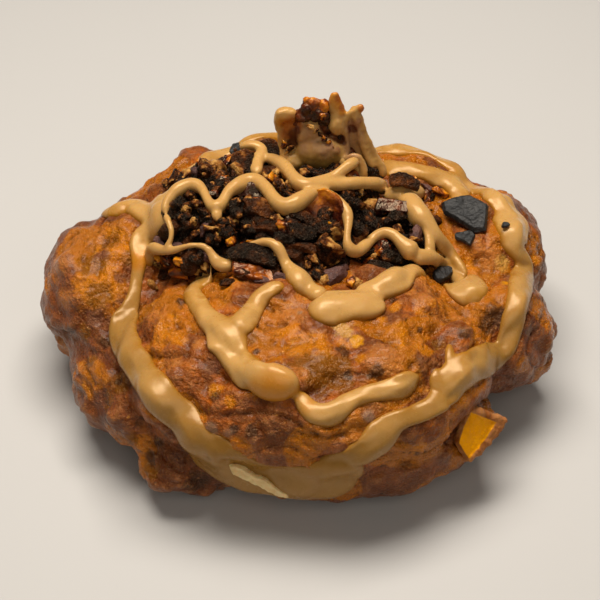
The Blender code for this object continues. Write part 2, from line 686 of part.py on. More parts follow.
def main():
    clear_scene()
    dough = make_dough()
    coarse = dough.copy()
    coarse.data = dough.data.copy()
    bpy.context.scene.collection.objects.link(coarse)
    reduce_to(coarse, CORE_CUTTER_TRIANGLES)
    heap = make_heap_core()
    surfaces = [surface_of(dough), surface_of(heap)]
    draw = random.Random(BIT_SEED)
    ropes = [add_rope(name, points, surfaces, ON_DOUGH) for name, points in DOUGH_ROPES.items()]
    swags = [add_rope(name, points, surfaces, ON_HEAP) for name, points in HEAP_ROPES.items()]
    crumbs = set_bits(DOUGH_CRUMBS, surfaces, draw)
    bits = set_bits(HERO_BITS, surfaces, draw) + scatter_bits(surfaces[1], draw)
    slabs = [add_slab(name, *sizes) for name, sizes in CROWN_SLABS.items()]

    unite(dough, ropes + crumbs)
    fuse(dough, FUSED_VOXEL, 1)
    reduce_to(dough, DOUGH_TRIANGLES)
    cut_flat_base(dough)
    apple = add_apple()
    cut_clear(dough, apple, GAP)
    keep_largest(dough)

    cut_clear(heap, coarse, CORE_GAP)
    bpy.data.objects.remove(coarse)
    unite(heap, swags + bits + slabs)
    cut_clear(heap, dough, GAP)
    keep_largest(heap)

    surface = surface_of(dough)
    grey_chip = add_grey_chip(surface)
    flake = add_flake(surface)
    for chip in (grey_chip, flake):
        cut_clear(chip, dough, GAP)
        keep_largest(chip)

    for obj in (dough, heap, grey_chip, apple, flake):
        obj.data.materials.clear()
        obj.data.materials.append(material(*FINISHES[obj.name]))


if __name__ == "__main__":
    main()
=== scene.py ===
"""A bacon apple fritter dressed for its picture: crust, drizzle, candied bacon, chips, apple and flake.

Sizes are in mm, and MM turns them into metres. The front of the fritter looks along -Y.
"""

import math
import random

import bmesh
import bpy
import numpy as np
from mathutils import Matrix, Vector, noise
from mathutils.bvhtree import BVHTree
from mathutils.kdtree import KDTree


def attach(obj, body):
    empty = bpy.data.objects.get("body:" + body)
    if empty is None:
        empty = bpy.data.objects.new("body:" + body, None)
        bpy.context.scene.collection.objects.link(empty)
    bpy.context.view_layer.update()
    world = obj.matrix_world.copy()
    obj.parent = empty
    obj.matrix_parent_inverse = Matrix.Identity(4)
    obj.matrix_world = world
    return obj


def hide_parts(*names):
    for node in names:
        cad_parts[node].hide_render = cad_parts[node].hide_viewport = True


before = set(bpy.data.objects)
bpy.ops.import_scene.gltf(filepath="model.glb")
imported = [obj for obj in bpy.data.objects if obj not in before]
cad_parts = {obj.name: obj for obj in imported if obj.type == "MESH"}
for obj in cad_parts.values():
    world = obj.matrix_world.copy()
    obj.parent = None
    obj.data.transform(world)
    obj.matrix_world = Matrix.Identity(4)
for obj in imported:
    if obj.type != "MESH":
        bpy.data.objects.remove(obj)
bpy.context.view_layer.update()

MM = 0.001

# The dough is a ring of soft lobes pressed round a flat middle. Each lobe is an ellipsoid:
# centre, half sizes and yaw, in mm and degrees.
DOUGH_LOBES = {
    "middle": ((0, 4, 18), (50, 44, 21), 0),
    "base": ((0, 0, 11), (48, 45, 12), 0),
    "front_mound": ((2, -22, 25), (45, 34, 18), 0),
    "left_bulge": ((-50, 6, 21), (15.5, 22, 17), 6),
    "left_shoulder": ((-42, 13, 26), (13, 19, 14), 10),
    "left_skirt": ((-40, -19, 15), (15, 25, 13), 28),
    "left_foot": ((-26, -38, 9), (13, 11, 9), 20),
    "front_skirt": ((6, -39, 13), (35, 15, 11), 0),
    "right_skirt": ((28, -27, 14), (19, 15, 13), -35),
    "right_front": ((47, -7, 21), (15, 18, 15), 8),
    "right_knob": ((57, -7, 11), (6.5, 7, 7), 0),
    "right_bulge": ((45, 17, 23), (18, 23, 17), -12),
    "back_left": ((-24, 31, 26), (23, 17, 17), 25),
    "back_middle": ((-4, 37, 27), (26, 17, 17), 0),
    "back_right": ((27, 32, 25), (23, 17, 17), -28),
}
# Smaller lumps that stand out of the crust where the photograph shows them: plan position, half
# sizes, yaw and rise above the lobes, in mm and degrees.
DOUGH_KNOBS = {
    "left_patch": ((-32, -17), (10, 8, 5), 0, 2),
    "left_low_patch": ((-29, -33), (9, 9, 5), 0, 1.6),
    "fork_bump": ((-15, -12), (5, 4, 3), 0, 1.6),
    "mid_bump": ((-3, -15), (6, 6, 4), 0, 2),
    "apple_lump": ((-6, -42), (9.5, 6, 6), -12, 3.5),
    "right_ridge": ((29, -12), (15, 5, 5), -35, 2.4),
    "right_step": ((24, -22), (13, 6, 5), -30, 1.8),
    "right_cheek": ((38, -26), (8, 7, 5), 0, 2.2),
    "low_cheek": ((22, -37), (11, 8, 5), 0, 2),
    "front_swell": ((9, -52), (13, 7, 5), 0, 1.6),
    "right_apple": ((50, 6), (8, 8, 5), 0, 2.4),
    "right_crag": ((46, -14), (8, 8, 6), 0, 2.4),
}
RIM_KNOBS = 64
KNOB_SIZES = (3.5, 8.0)
KNOB_RISE = 1.5
DOUGH_VOXEL = 1.1 * MM
CREASE_ROUNDS = 5
SWELL_SCALE = 9 * MM
SWELL_DEPTH = 3.2 * MM

# The heap of bacon bits on top, as soft lobes that the bits stand on.
HEAP_LOBES = {
    "left": ((-20, 11, 38), (17, 18, 11), 0),
    "middle": ((-2, 10, 38), (19, 20, 12), 0),
    "back": ((-6, 26, 39), (26, 10, 9), 0),
    "crown_foot": ((7, 21, 43), (11, 8, 9), 0),
    "right": ((23, 10, 35), (12, 14, 8), 0),
}

# Drizzle poured in ropes: how thick each is for its half width, and place and half width along it, in mm.
DOUGH_ROPES = {
    "ring_top_left": (0.55, [
        (-50.2, 20.9, 35.1, 1.9), (-46.7, 17.1, 39.2, 2.4), (-44, 18, 39.4, 2.6),
        (-41.4, 19.3, 38.7, 3.3), (-38.3, 15.1, 42.7, 4.4), (-35.9, 13.1, 45.9, 3.6),
        (-34, 14.5, 47.3, 2.9), (-32.3, 16.4, 48, 2.2), (-30.3, 23.3, 46.8, 1.5),
    ]),
    "junction": (0.6, [
        (-34.8, 14.4, 46.7, 2.9), (-35.7, 9.9, 46.5, 4.3), (-37, 8.6, 44.5, 4), (-38.3, 7.5, 42.2, 2.9),
        (-39.4, 6.8, 39.2, 2.5), (-39.5, 4.1, 38, 2.5), (-39.4, 1.7, 36.8, 1.9),
        (-39.6, -0.8, 35.3, 1.4), (-40.1, -2.3, 34, 1.2), (-40.2, -4.1, 33, 1.1),
        (-40.4, -6.4, 31.8, 1.3), (-41, -9, 30.5, 1.8), (-41.9, -10.8, 29.9, 2.2),
        (-42.4, -12.8, 28.9, 2.4),
    ]),
    "ring_left": (0.5, [
        (-43, -9.2, 31.3, 1.5), (-42.4, -10.3, 30, 2.6), (-42.5, -12.3, 28.9, 3.3),
        (-42.3, -16.8, 28.6, 3.7), (-40.8, -23.9, 30.4, 3.6), (-38.9, -29.2, 31.1, 3.5),
        (-36.4, -34.2, 31.4, 3.5), (-33.5, -40.2, 32.9, 3.7), (-30.9, -43.3, 31.5, 3.8),
        (-28, -45.6, 29.3, 3.9), (-25.5, -48.1, 27.2, 4.2), (-22.1, -50.1, 24.1, 4.4),
        (-18, -49, 17.8, 4.4), (-14, -50.5, 15.8, 3.2),
    ]),
    "curtain": (0.3, [
        (-25.1, -48.7, 24.9, 4.6), (-21.4, -49, 20.2, 5.3), (-17.1, -49.3, 16.7, 5.2),
        (-12.5, -50.8, 15.7, 5), (-7.4, -51.7, 14.6, 5.2), (-2.3, -54.2, 16.1, 6),
        (2.3, -54.4, 16.3, 6.4), (6.4, -52.9, 16, 6.2), (9.7, -55.2, 22, 5), (12.5, -55.8, 26.3, 3.9),
    ]),
    "curtain_top": (0.25, [
        (-24.5, -49, 27.5, 1.2), (-22.7, -49.8, 26.7, 1.8), (-19.9, -51, 26.4, 2.4),
        (-15.8, -52.9, 24.8, 2.7), (-11.8, -52.6, 20.8, 2.8), (-7.3, -52.9, 19, 3),
        (-2.3, -54.4, 19.7, 3), (2.3, -55.4, 20.8, 3), (6.3, -55.6, 23.1, 2.7), (9.2, -55.7, 26.2, 2.2),
        (11.2, -55.4, 28.9, 1.3),
    ]),
    "ring_low_right": (0.55, [
        (10.1, -55.8, 25.3, 4.2), (12.5, -55.6, 27.4, 2.9), (15, -54.5, 28.2, 3.3),
        (17.2, -53.2, 29.4, 3.9), (19.1, -51.7, 30.4, 3.6), (20.4, -50.6, 31.9, 2.6),
        (22.2, -49.6, 32.4, 2), (24.3, -48.2, 32, 1.8), (26.7, -46.9, 31.6, 2), (29, -45.5, 31.7, 2.1),
        (31.2, -43.5, 31.9, 2.4), (33.2, -40.7, 32.1, 3),
    ]),
    "ring_low_film": (0.4, [
        (31.2, -43.5, 31.9, 2.2), (33.2, -40.7, 32.1, 3.1), (34.6, -39.1, 33.4, 3.7),
        (36.4, -37.6, 34.4, 4), (38.7, -34.9, 34, 3.8), (41.5, -31, 32.1, 3.7),
        (44.2, -27.9, 30.4, 3.9), (47.4, -24.4, 28.4, 3), (49.4, -21.4, 29.4, 1.8),
    ]),
    "ring_right": (0.5, [
        (47.3, -24.6, 26.6, 2.2), (49.3, -21.8, 28.8, 2.3), (50.6, -19.2, 31.3, 2.4),
        (51.8, -17.1, 34.3, 2.6), (52.2, -14.3, 35.4, 2.8), (53.2, -8.3, 34.4, 3.1),
        (54.8, -3.2, 33.5, 2.9), (56.5, 4.1, 31, 2.8), (54.9, 4.4, 34.8, 2.3), (53, 5, 37.8, 3.3),
        (53.2, 8, 38.9, 4.4), (53.2, 14.6, 37.3, 4.6), (52.2, 18, 38.5, 3.3), (50.7, 21.2, 39.2, 4.2),
        (48.8, 25, 38.4, 2.6), (46, 28.5, 38, 2.3), (42.5, 31.5, 38.6, 1.9), (39, 32.8, 39.4, 1.4),
    ]),
    "ring_back": (0.5, [
        (21.3, 35.3, 41.2, 0.9), (23.3, 32.7, 41, 1.9), (26.6, 30.9, 41.7, 2.2),
        (30.4, 29.8, 41.6, 2.1), (34, 29.2, 40.7, 2.4), (37.2, 29, 39.6, 2.4), (39.8, 28.5, 38, 3.8),
        (41.3, 24.9, 38.5, 2.6), (40.6, 21.6, 38.5, 1.6), (38.6, 18.9, 38.4, 1.4), (36.5, 17.4, 38, 1),
    ]),
    "ring_back_low": (0.45, [
        (21.7, 30.7, 40.9, 1.5), (25.3, 29.8, 41.2, 1.4), (28.8, 29.6, 41.7, 1.4),
        (32.4, 28.9, 41.2, 1.6),
    ]),
    "back_band": (0.5, [
        (-30.6, 27, 44.3, 1.5), (-28.1, 30, 44.6, 1.9), (-24.8, 33.5, 45, 2.2), (-21, 37, 44.6, 2.3),
        (-16.5, 40, 44.4, 2.3), (-11, 42.5, 44.2, 2.2), (-5, 44, 44, 2), (0, 44.5, 43.5, 1.8),
    ]),
    "far_side": (0.45, [
        (44, 30, 37, 2), (38, 36, 38.5, 2.4), (30, 40.5, 39.5, 2.6), (22, 43, 40.5, 2.4),
        (14, 44.5, 41.5, 2.2), (6, 45, 42.5, 2),
    ]),
    "fork": (0.55, [
        (-20.9, -9.2, 40.3, 1.2), (-23.3, -9, 39.5, 1.8), (-25.4, -8.6, 37.3, 2.2),
        (-25.7, -13.8, 39, 2.1), (-24.3, -17.9, 39.2, 2.1), (-22.2, -23.2, 40.1, 2.3),
        (-18.9, -28, 40.8, 3), (-15.8, -31.5, 40.7, 4.3), (-15.5, -33.9, 40.1, 3.8),
        (-15, -36.5, 39.4, 3), (-13.1, -40.2, 39.9, 3.4), (-11.2, -43.2, 39.9, 3.5),
        (-9, -44.9, 39.1, 3.7),
    ]),
    "fork_arm": (0.55, [
        (-3.7, -18.7, 44, 1.6), (-5.2, -17.3, 44, 2.1), (-7, -17.7, 43.7, 2.3), (-8.9, -19.3, 43, 2.2),
        (-10.5, -21.5, 42.1, 2.2), (-11.8, -25, 42.1, 2.6), (-13.3, -29.4, 42.8, 3),
        (-15.1, -31.9, 41.6, 3.4),
    ]),
    "caramel": (0.62, [
        (-12.8, -40.7, 40.4, 2.3), (-10.3, -43.8, 40.7, 3.4), (-7.6, -45.2, 40.1, 4.1),
        (-4.7, -46.1, 40.1, 4.2), (-2, -46.5, 39.9, 3.8), (0, -46.7, 39.1, 2.7),
    ]),
    "fork_low": (0.7, [
        (-0.9, -46.9, 38.7, 1.8), (0.7, -47.9, 36.5, 1.6), (2, -50.1, 35.8, 2.1), (4, -51.2, 35.4, 2.5),
        (6.2, -51.3, 35.5, 2.5), (8.2, -50.3, 36, 2.3), (10.3, -48.3, 35.9, 2),
        (12.6, -46.7, 35.9, 1.7), (14.8, -45.8, 36.2, 1.7), (17.3, -45, 36.7, 1.9),
        (19.8, -44.4, 37, 2), (22, -43.9, 37.5, 2.3), (24.1, -42.9, 37.4, 2.2),
        (25.8, -41.4, 37.3, 1.7), (27.2, -39.8, 37.2, 0.7),
    ]),
    "blob": (0.72, [
        (2.1, -22.5, 43.3, 3), (3.7, -23.8, 43.2, 4.3), (6, -24.5, 43.2, 4.8), (8.8, -23.5, 43, 4.3),
        (12.1, -22.3, 42.5, 4.6), (14.9, -21.6, 42.2, 4.6), (17.3, -20, 41.6, 4.5),
        (18.8, -18, 40.8, 3.1),
    ]),
    "blob_arm": (0.62, [
        (13.6, -20, 42.2, 2.6), (16.5, -16.8, 41.3, 3.1), (18.9, -15.5, 41.4, 2.9),
        (21.6, -14, 42, 3.9), (24.5, -9.2, 39.7, 3.3), (27.3, -6.6, 39.1, 3.2), (30, -3.6, 37.7, 2.8),
    ]),
    "spur": (0.5, [
        (34.5, -29.8, 37.8, 0.5), (34.4, -32, 37.3, 0.7), (34.5, -33.7, 36.4, 1),
        (34.7, -35.6, 35.3, 1.4),
    ]),
    "film_pool": (0.3, [
        (31.3, -36.7, 36.1, 1.5), (31.5, -38.5, 35, 2.2), (31.9, -40.4, 33.6, 2.4),
        (31.7, -42.2, 32.6, 2.6),
    ]),
    "loop": (0.9, [
        (9.4, 22.4, 48.2, 1.6), (10.6, 22, 50.8, 1.5), (12.4, 21.8, 53.2, 1.3), (14.2, 21.8, 53.6, 1.2),
        (15.4, 21.6, 51.6, 1.1), (15.9, 21.2, 49.2, 1.2), (15.6, 20.8, 47, 1.5),
    ]),
    "curl": (0.6, [
        (38.2, -2.8, 32.4, 1.6), (39.1, -7.7, 34.2, 3.5), (40.4, -11.3, 36.1, 4),
        (42.3, -11.4, 37.1, 3.1), (43.1, -6.5, 35.1, 2.4), (41.3, -4.7, 34.5, 2.8),
        (39.7, -4.7, 33.5, 3),
    ]),
}
# The rope that keeps its own height over the folds of the dough.
PROUD_ROPES = ("caramel",)
HEAP_ROPES = {
    "swag": (1, [
        (-32.9, 5.2, 47.5, 1), (-32.8, 8.2, 48.3, 1.3), (-31.6, 10.1, 49.2, 1.5),
        (-30, 11.7, 50.1, 1.8), (-27.8, 12.7, 50.6, 1.7), (-25.8, 12.6, 51, 1.7),
        (-23.9, 10.2, 51.3, 1.3), (-22.9, 7.5, 51.2, 1.2), (-21.8, 4.7, 51, 1.4), (-20.3, 3, 50.8, 2.1),
        (-19.1, 4.2, 51.1, 1.6), (-18.2, 6.7, 51.6, 1.4), (-17.3, 9.3, 51.7, 1.5),
        (-15.4, 11, 51.6, 1.9), (-13.3, 13.7, 50.8, 2.2), (-11.1, 13.9, 50.9, 2.3),
        (-9, 11.1, 51.9, 1.7), (-7.5, 7.8, 52.3, 1.7), (-6.3, 5, 52.3, 1.8), (-4.6, 3, 52, 2),
        (-2.4, 2.1, 52.1, 2.3), (-0.5, 3.7, 52.5, 2.3), (1.2, 5.7, 52.4, 1.9), (2.9, 7.3, 52.3, 1.6),
        (4.6, 8.7, 51.9, 1.3), (6.6, 8.6, 51.3, 1.2), (8.5, 7.9, 50.7, 1.2), (10.2, 5.9, 50, 1.2),
        (11.4, 4.2, 48.9, 1.5), (11.8, 1.8, 48.1, 1.2), (11.6, -1, 47.2, 0.9), (11.1, -3.1, 46.2, 1),
        (11.5, -4.4, 44.7, 1.5), (12.8, -4.5, 43.6, 1.6), (14.5, -3, 42.7, 1.5),
        (15.8, -1.1, 42.7, 1.5), (17.3, 1.2, 42.6, 1.1), (18.8, 2.2, 43.4, 1.2), (20.5, 2.7, 44.2, 1.3),
        (22.1, 2, 44.5, 1.4), (23.6, 0.8, 43.9, 1.4), (24.8, -0.8, 43, 1.8), (26.4, -2, 42.1, 2.6),
        (28.7, -2.4, 40.8, 2.9),
    ]),
    "drip": (0.8, [(-20.3, 3, 50.8, 1.7), (-20, 1.2, 50.1, 1.4), (-19.7, -0.3, 49.5, 0.8)]),
    "low_left": (0.8, [
        (-37.2, -0.3, 34.8, 0.8), (-36.9, 0.7, 37.3, 1.4), (-36.4, 0.8, 40.4, 1.6),
        (-34.5, -1.3, 41.6, 1.4), (-32.4, -3.1, 42.7, 1.1), (-30.3, -4, 43.8, 1),
        (-28.3, -4.6, 45.2, 0.8), (-26.1, -4.6, 45.9, 0.7), (-23.9, -4.9, 46.1, 0.7),
        (-22.2, -5.5, 46, 1), (-21.3, -6.6, 45.1, 1.1), (-20.6, -7.8, 43.9, 1.5), (-19.4, -8.6, 43, 2),
        (-17.7, -8.5, 42.6, 1.8), (-16.3, -7.9, 43.3, 1.1), (-14.6, -7.5, 43.3, 0.7),
    ]),
    "thread": (0.9, [
        (-32.9, 5.2, 47.5, 1), (-31.9, 2.6, 47.4, 0.8), (-31, 0.3, 46.6, 0.7), (-31, -1.6, 45.4, 0.7),
        (-31.9, -2.6, 43.8, 0.9), (-32.8, -2.8, 42.8, 1.1),
    ]),
    "low_swag": (0.95, [
        (-14.1, -5.5, 45.7, 0.6), (-12.4, -5.2, 46, 0.8), (-10.5, -5.2, 47, 0.9),
        (-8.6, -5.3, 47.7, 1.1), (-6.7, -5.9, 47.9, 1.2), (-5.2, -7.1, 47.4, 1.4),
        (-4.3, -8.5, 46.4, 1.3), (-3.6, -9.8, 45, 1.4), (-2.4, -11.1, 43.6, 1.9),
        (-0.7, -14.7, 44.2, 2.9), (0.9, -16.4, 43.2, 3.2), (2.6, -17.6, 42.3, 2.2),
        (4.4, -19.8, 43, 2.6), (6, -22, 42.5, 2),
    ]),
    "cross": (0.85, [
        (-9, 24.1, 50.6, 1.4), (-7, 23.8, 50.5, 1.4), (-5, 21.3, 50.9, 1.9), (-3.2, 17, 52.2, 1.7),
        (-1.7, 13.7, 52.6, 1.6), (-0.2, 10.6, 52.9, 2), (1.5, 9.4, 52.8, 2.1), (3.7, 11.2, 52.4, 1.8),
        (6.1, 12.8, 51.8, 1.7), (8.6, 14.8, 51.8, 1.3), (10.8, 16.2, 52.9, 1.4),
        (12.8, 17.9, 53.4, 1.4), (14.4, 20.5, 52.4, 1),
    ]),
    "cross_left": (0.7, [
        (-15.5, 28.5, 50.5, 1.2), (-12.7, 28.7, 51.5, 1.4), (-10, 27.5, 51.5, 1.5), (-9, 26, 51, 1.5),
        (-10.7, 24.1, 50.7, 1.7), (-11, 21.5, 50.1, 1.8), (-10.7, 17.4, 50.4, 1.3),
    ]),
    "shelf": (0.9, [
        (1.5, 9.4, 52.8, 1.9), (4.4, 10.8, 52.1, 1.6), (7.4, 12.1, 51.3, 1.6), (10.3, 13.5, 50.3, 1.6),
        (12.8, 14.2, 50.1, 1.6), (15.9, 15.6, 49, 1.7), (19, 17.4, 47.2, 1.8), (22, 24.3, 40.6, 1.9),
    ]),
    "ledge": (0.9, [
        (21, 16.4, 44.3, 2.2), (23.5, 16.7, 44.7, 2.6), (26.1, 17.9, 44, 2.6), (28.8, 20.4, 42.4, 2.5),
        (31.4, 24.3, 40, 1.3),
    ]),
    "strand": (0.85, [
        (26, 16, 44.5, 2.6), (27.8, 12.3, 45, 2.8), (29.1, 9.1, 45, 2.8), (30.5, 7.4, 44.2, 2.8),
        (31.9, 5.8, 43.2, 2.2), (32.9, 4.1, 42.4, 1.9), (34.4, 3.9, 40.4, 1.8), (36, 3.8, 38.2, 1.8),
        (37.7, 3.8, 35.6, 1.5), (39, 1.2, 35.2, 1.3), (40.2, -0.4, 34.4, 1.1), (41, -2.6, 34.3, 0.5),
    ]),
    "strand_low": (0.85, [
        (27.1, -3.1, 41.1, 2.2), (29.4, -2.5, 40.3, 2.1), (31.7, -1.7, 39.6, 1.9),
        (33.9, -0.3, 37.2, 1.7), (36, 1.9, 33.3, 1.6), (37.6, 0.1, 32.9, 1.6), (38.9, -2.5, 32.9, 1.6),
        (39.7, -6.6, 34.2, 2),
    ]),
    "strand_join": (0.7, [
        (30.9, 5.4, 43.6, 1.4), (31.6, 3.1, 42.6, 1.1), (32, 1.2, 41.3, 1.3), (31.9, -1, 40, 1.6),
    ]),
}
# A slate-grey chip of candied bacon beside the heap: its outline round the middle, in mm.
GREY_CHIP_OUTLINE = [
    (-7.5, -1), (-4.6, 3.6), (-2.4, 5), (3.2, 4.6), (7.4, -2.8), (5.2, -4.8), (-2, -3.8), (-5, -3.6),
]
GREY_CHIP_PLACE = (42.5, 14.5)
GREY_CHIP_THICK = 2.6
GREY_CHIP_RISE = 2.3
# A wedge of apple set in the side of the skirt: the corners of its flat side, clockwise from the
# top left, which way that side faces, how deep the wedge is, and how wide the browned rim is
# beside each corner, in mm.
APPLE_CORNERS = [
    (39.8, -38.3, 25.3), (48.6, -37.1, 19.4), (46.4, -39.6, 17.2), (43, -42.6, 15.2), (39.5, -45.2, 14),
    (36.6, -43.9, 18.7), (37.7, -41.3, 22.1),
]
APPLE_FACING = (0.416, -0.78, 0.468)
APPLE_DEPTH = 8.0
APPLE_RIMS = (1.3, 2.5, 1.7, 0.7, 0.0, 0.0, 0.3)
# A pale flake of crust stuck on the lower edge of the drizzle at the front.
FLAKE_PLACE = (-9.6, 16.5)
FLAKE_OUTLINE = [
    (-7.2, 3.4), (-5.4, 3.8), (-2.4, 2.5), (-0.6, 1.4), (2, 0.6), (5.2, -1.8), (7.6, -3), (7.2, -4.2),
    (4.6, -4), (2, -2.5), (-0.6, -1.6), (-3, -0.3), (-6.2, 0.9),
]
FLAKE_THICK = 1.4
FLAKE_RISE = 0.3
# Where a look from the front starts, in mm.
FRONT = -90
# It lies along the way that the drizzle faces over this spread, in mm.
FLAKE_BED = (0.0, -3.0, 3.0)

# The size of the mesh cells of each skin.
CRUST_VOXEL = 0.66 * MM
DRIZZLE_VOXEL = 0.42 * MM
CROWN_VOXEL = 0.36 * MM
SHEET_VOXEL = 0.34 * MM
CORE_VOXEL = 0.5 * MM
APPLE_VOXEL = 0.26 * MM
# Chips: size of the mesh cells, rounds of softening, and how deep their skin is worn, in mm.
CHIP_WEAR = (0.25 * MM, 3, 0.13)
SMALL_CHIP_WEAR = (0.22 * MM, 3, 0.18)
FLAKE_WEAR = (0.16 * MM, 1, 0.25)
# Outlines of a chip and of the apple, one above the other: where in the thickness, and what share.
PLATE_LEVELS = ((-0.5, 0.86), (0.0, 1.0), (0.5, 0.9))
APPLE_LEVELS = ((0.08, 0.95), (-0.1, 1.0), (-0.5, 0.9), (-1.0, 0.6))
APPLE_RIM_FADE = 0.8
RING_RADIUS = 45.0
NOISE_SEED = 3
# How much of a crease one round of softening takes out.
CREASE_SHARE = 0.5
# How high a plumb line starts, in metres.
SKY = 1.0

# Lumps round the sides: the point that they face away from, how high the lowest one is, and their shape.
RIM_SEED = 7
RIM_CENTRE_HEIGHT = 20
RIM_REACH = 0.2
RIM_FLATNESS = 0.55
RIM_LOWEST = 8 * MM
RIM_LEAST_SIDE = 0.5
KNOB_WIDTHS = (0.6, 1.0)
KNOB_HEIGHT = 0.6
LOBE_SUBDIVISIONS = 4
KNOB_SUBDIVISIONS = 3

# What is painted on the crust: how far crests and hollows bend, in mm (the hollows get painted shade), and
# where it darkens: purple film low down, darker towards the table as painted shade, and painted shade down
# the left side.
SEAM_FROM = 2.4
CREST_ROUNDS = 14
CREST_HEIGHT = 0.45
HOLLOW_DEPTH = 0.5
SHADE_LEFT_FROM = 38
SHADE_LEFT_FADE = 14
SHADE_LEFT_MOST = 0.85
LOW_AT_TABLE = 1.15
LOW_FADE = 34 * MM

# How a rope of drizzle is made: its rings, its ends, and the unevenness of its edges.
ROPE_SIDES = 20
ROPE_STEP = 0.9 * MM
ROPE_SINK = 2.0 * MM
ROPE_TIP = 0.15
ROPE_ROUNDNESS = 0.75
ROPE_SAG = 0.3
ROPE_CURVE_STEPS = 10
ROPE_END_STEPS = (0.0, 0.08, 0.4)
ROPE_CENTRE_ROUNDS = 3
ROPE_NORMAL_ROUNDS = 24
HANGING_LINE_ROUNDS = 1
LYING_LINE_ROUNDS = 4
RING_MIDDLE_Y = 8 * MM
RAGGED_SIZE = 1.4
RAGGED_SHARE = 0.22
WAVY_SIZE = 5.5
WAVY_SHARE = 0.12
WAVY_SHIFT = 5
EDGE_APART = 9
OUTER_EDGE = 0.2
# Waves in the drizzle's skin: size, and height in mm. Then its full thickness, and where it is low, where
# it gets painted shade.
DRIZZLE_WAVES = ((5.0 * MM, 0.16), (1.3 * MM, 0.02))
FULL_THICKNESS = 1.8
DRIZZLE_SHADE_FROM = 40
DRIZZLE_SHADE_FADE = 12
DEEPEST_POUR = 2.6 * MM
HANGING_DEPTH = 1.3
POUR_SPREAD = 0.4 * MM
LOOK_UP = 6 * MM

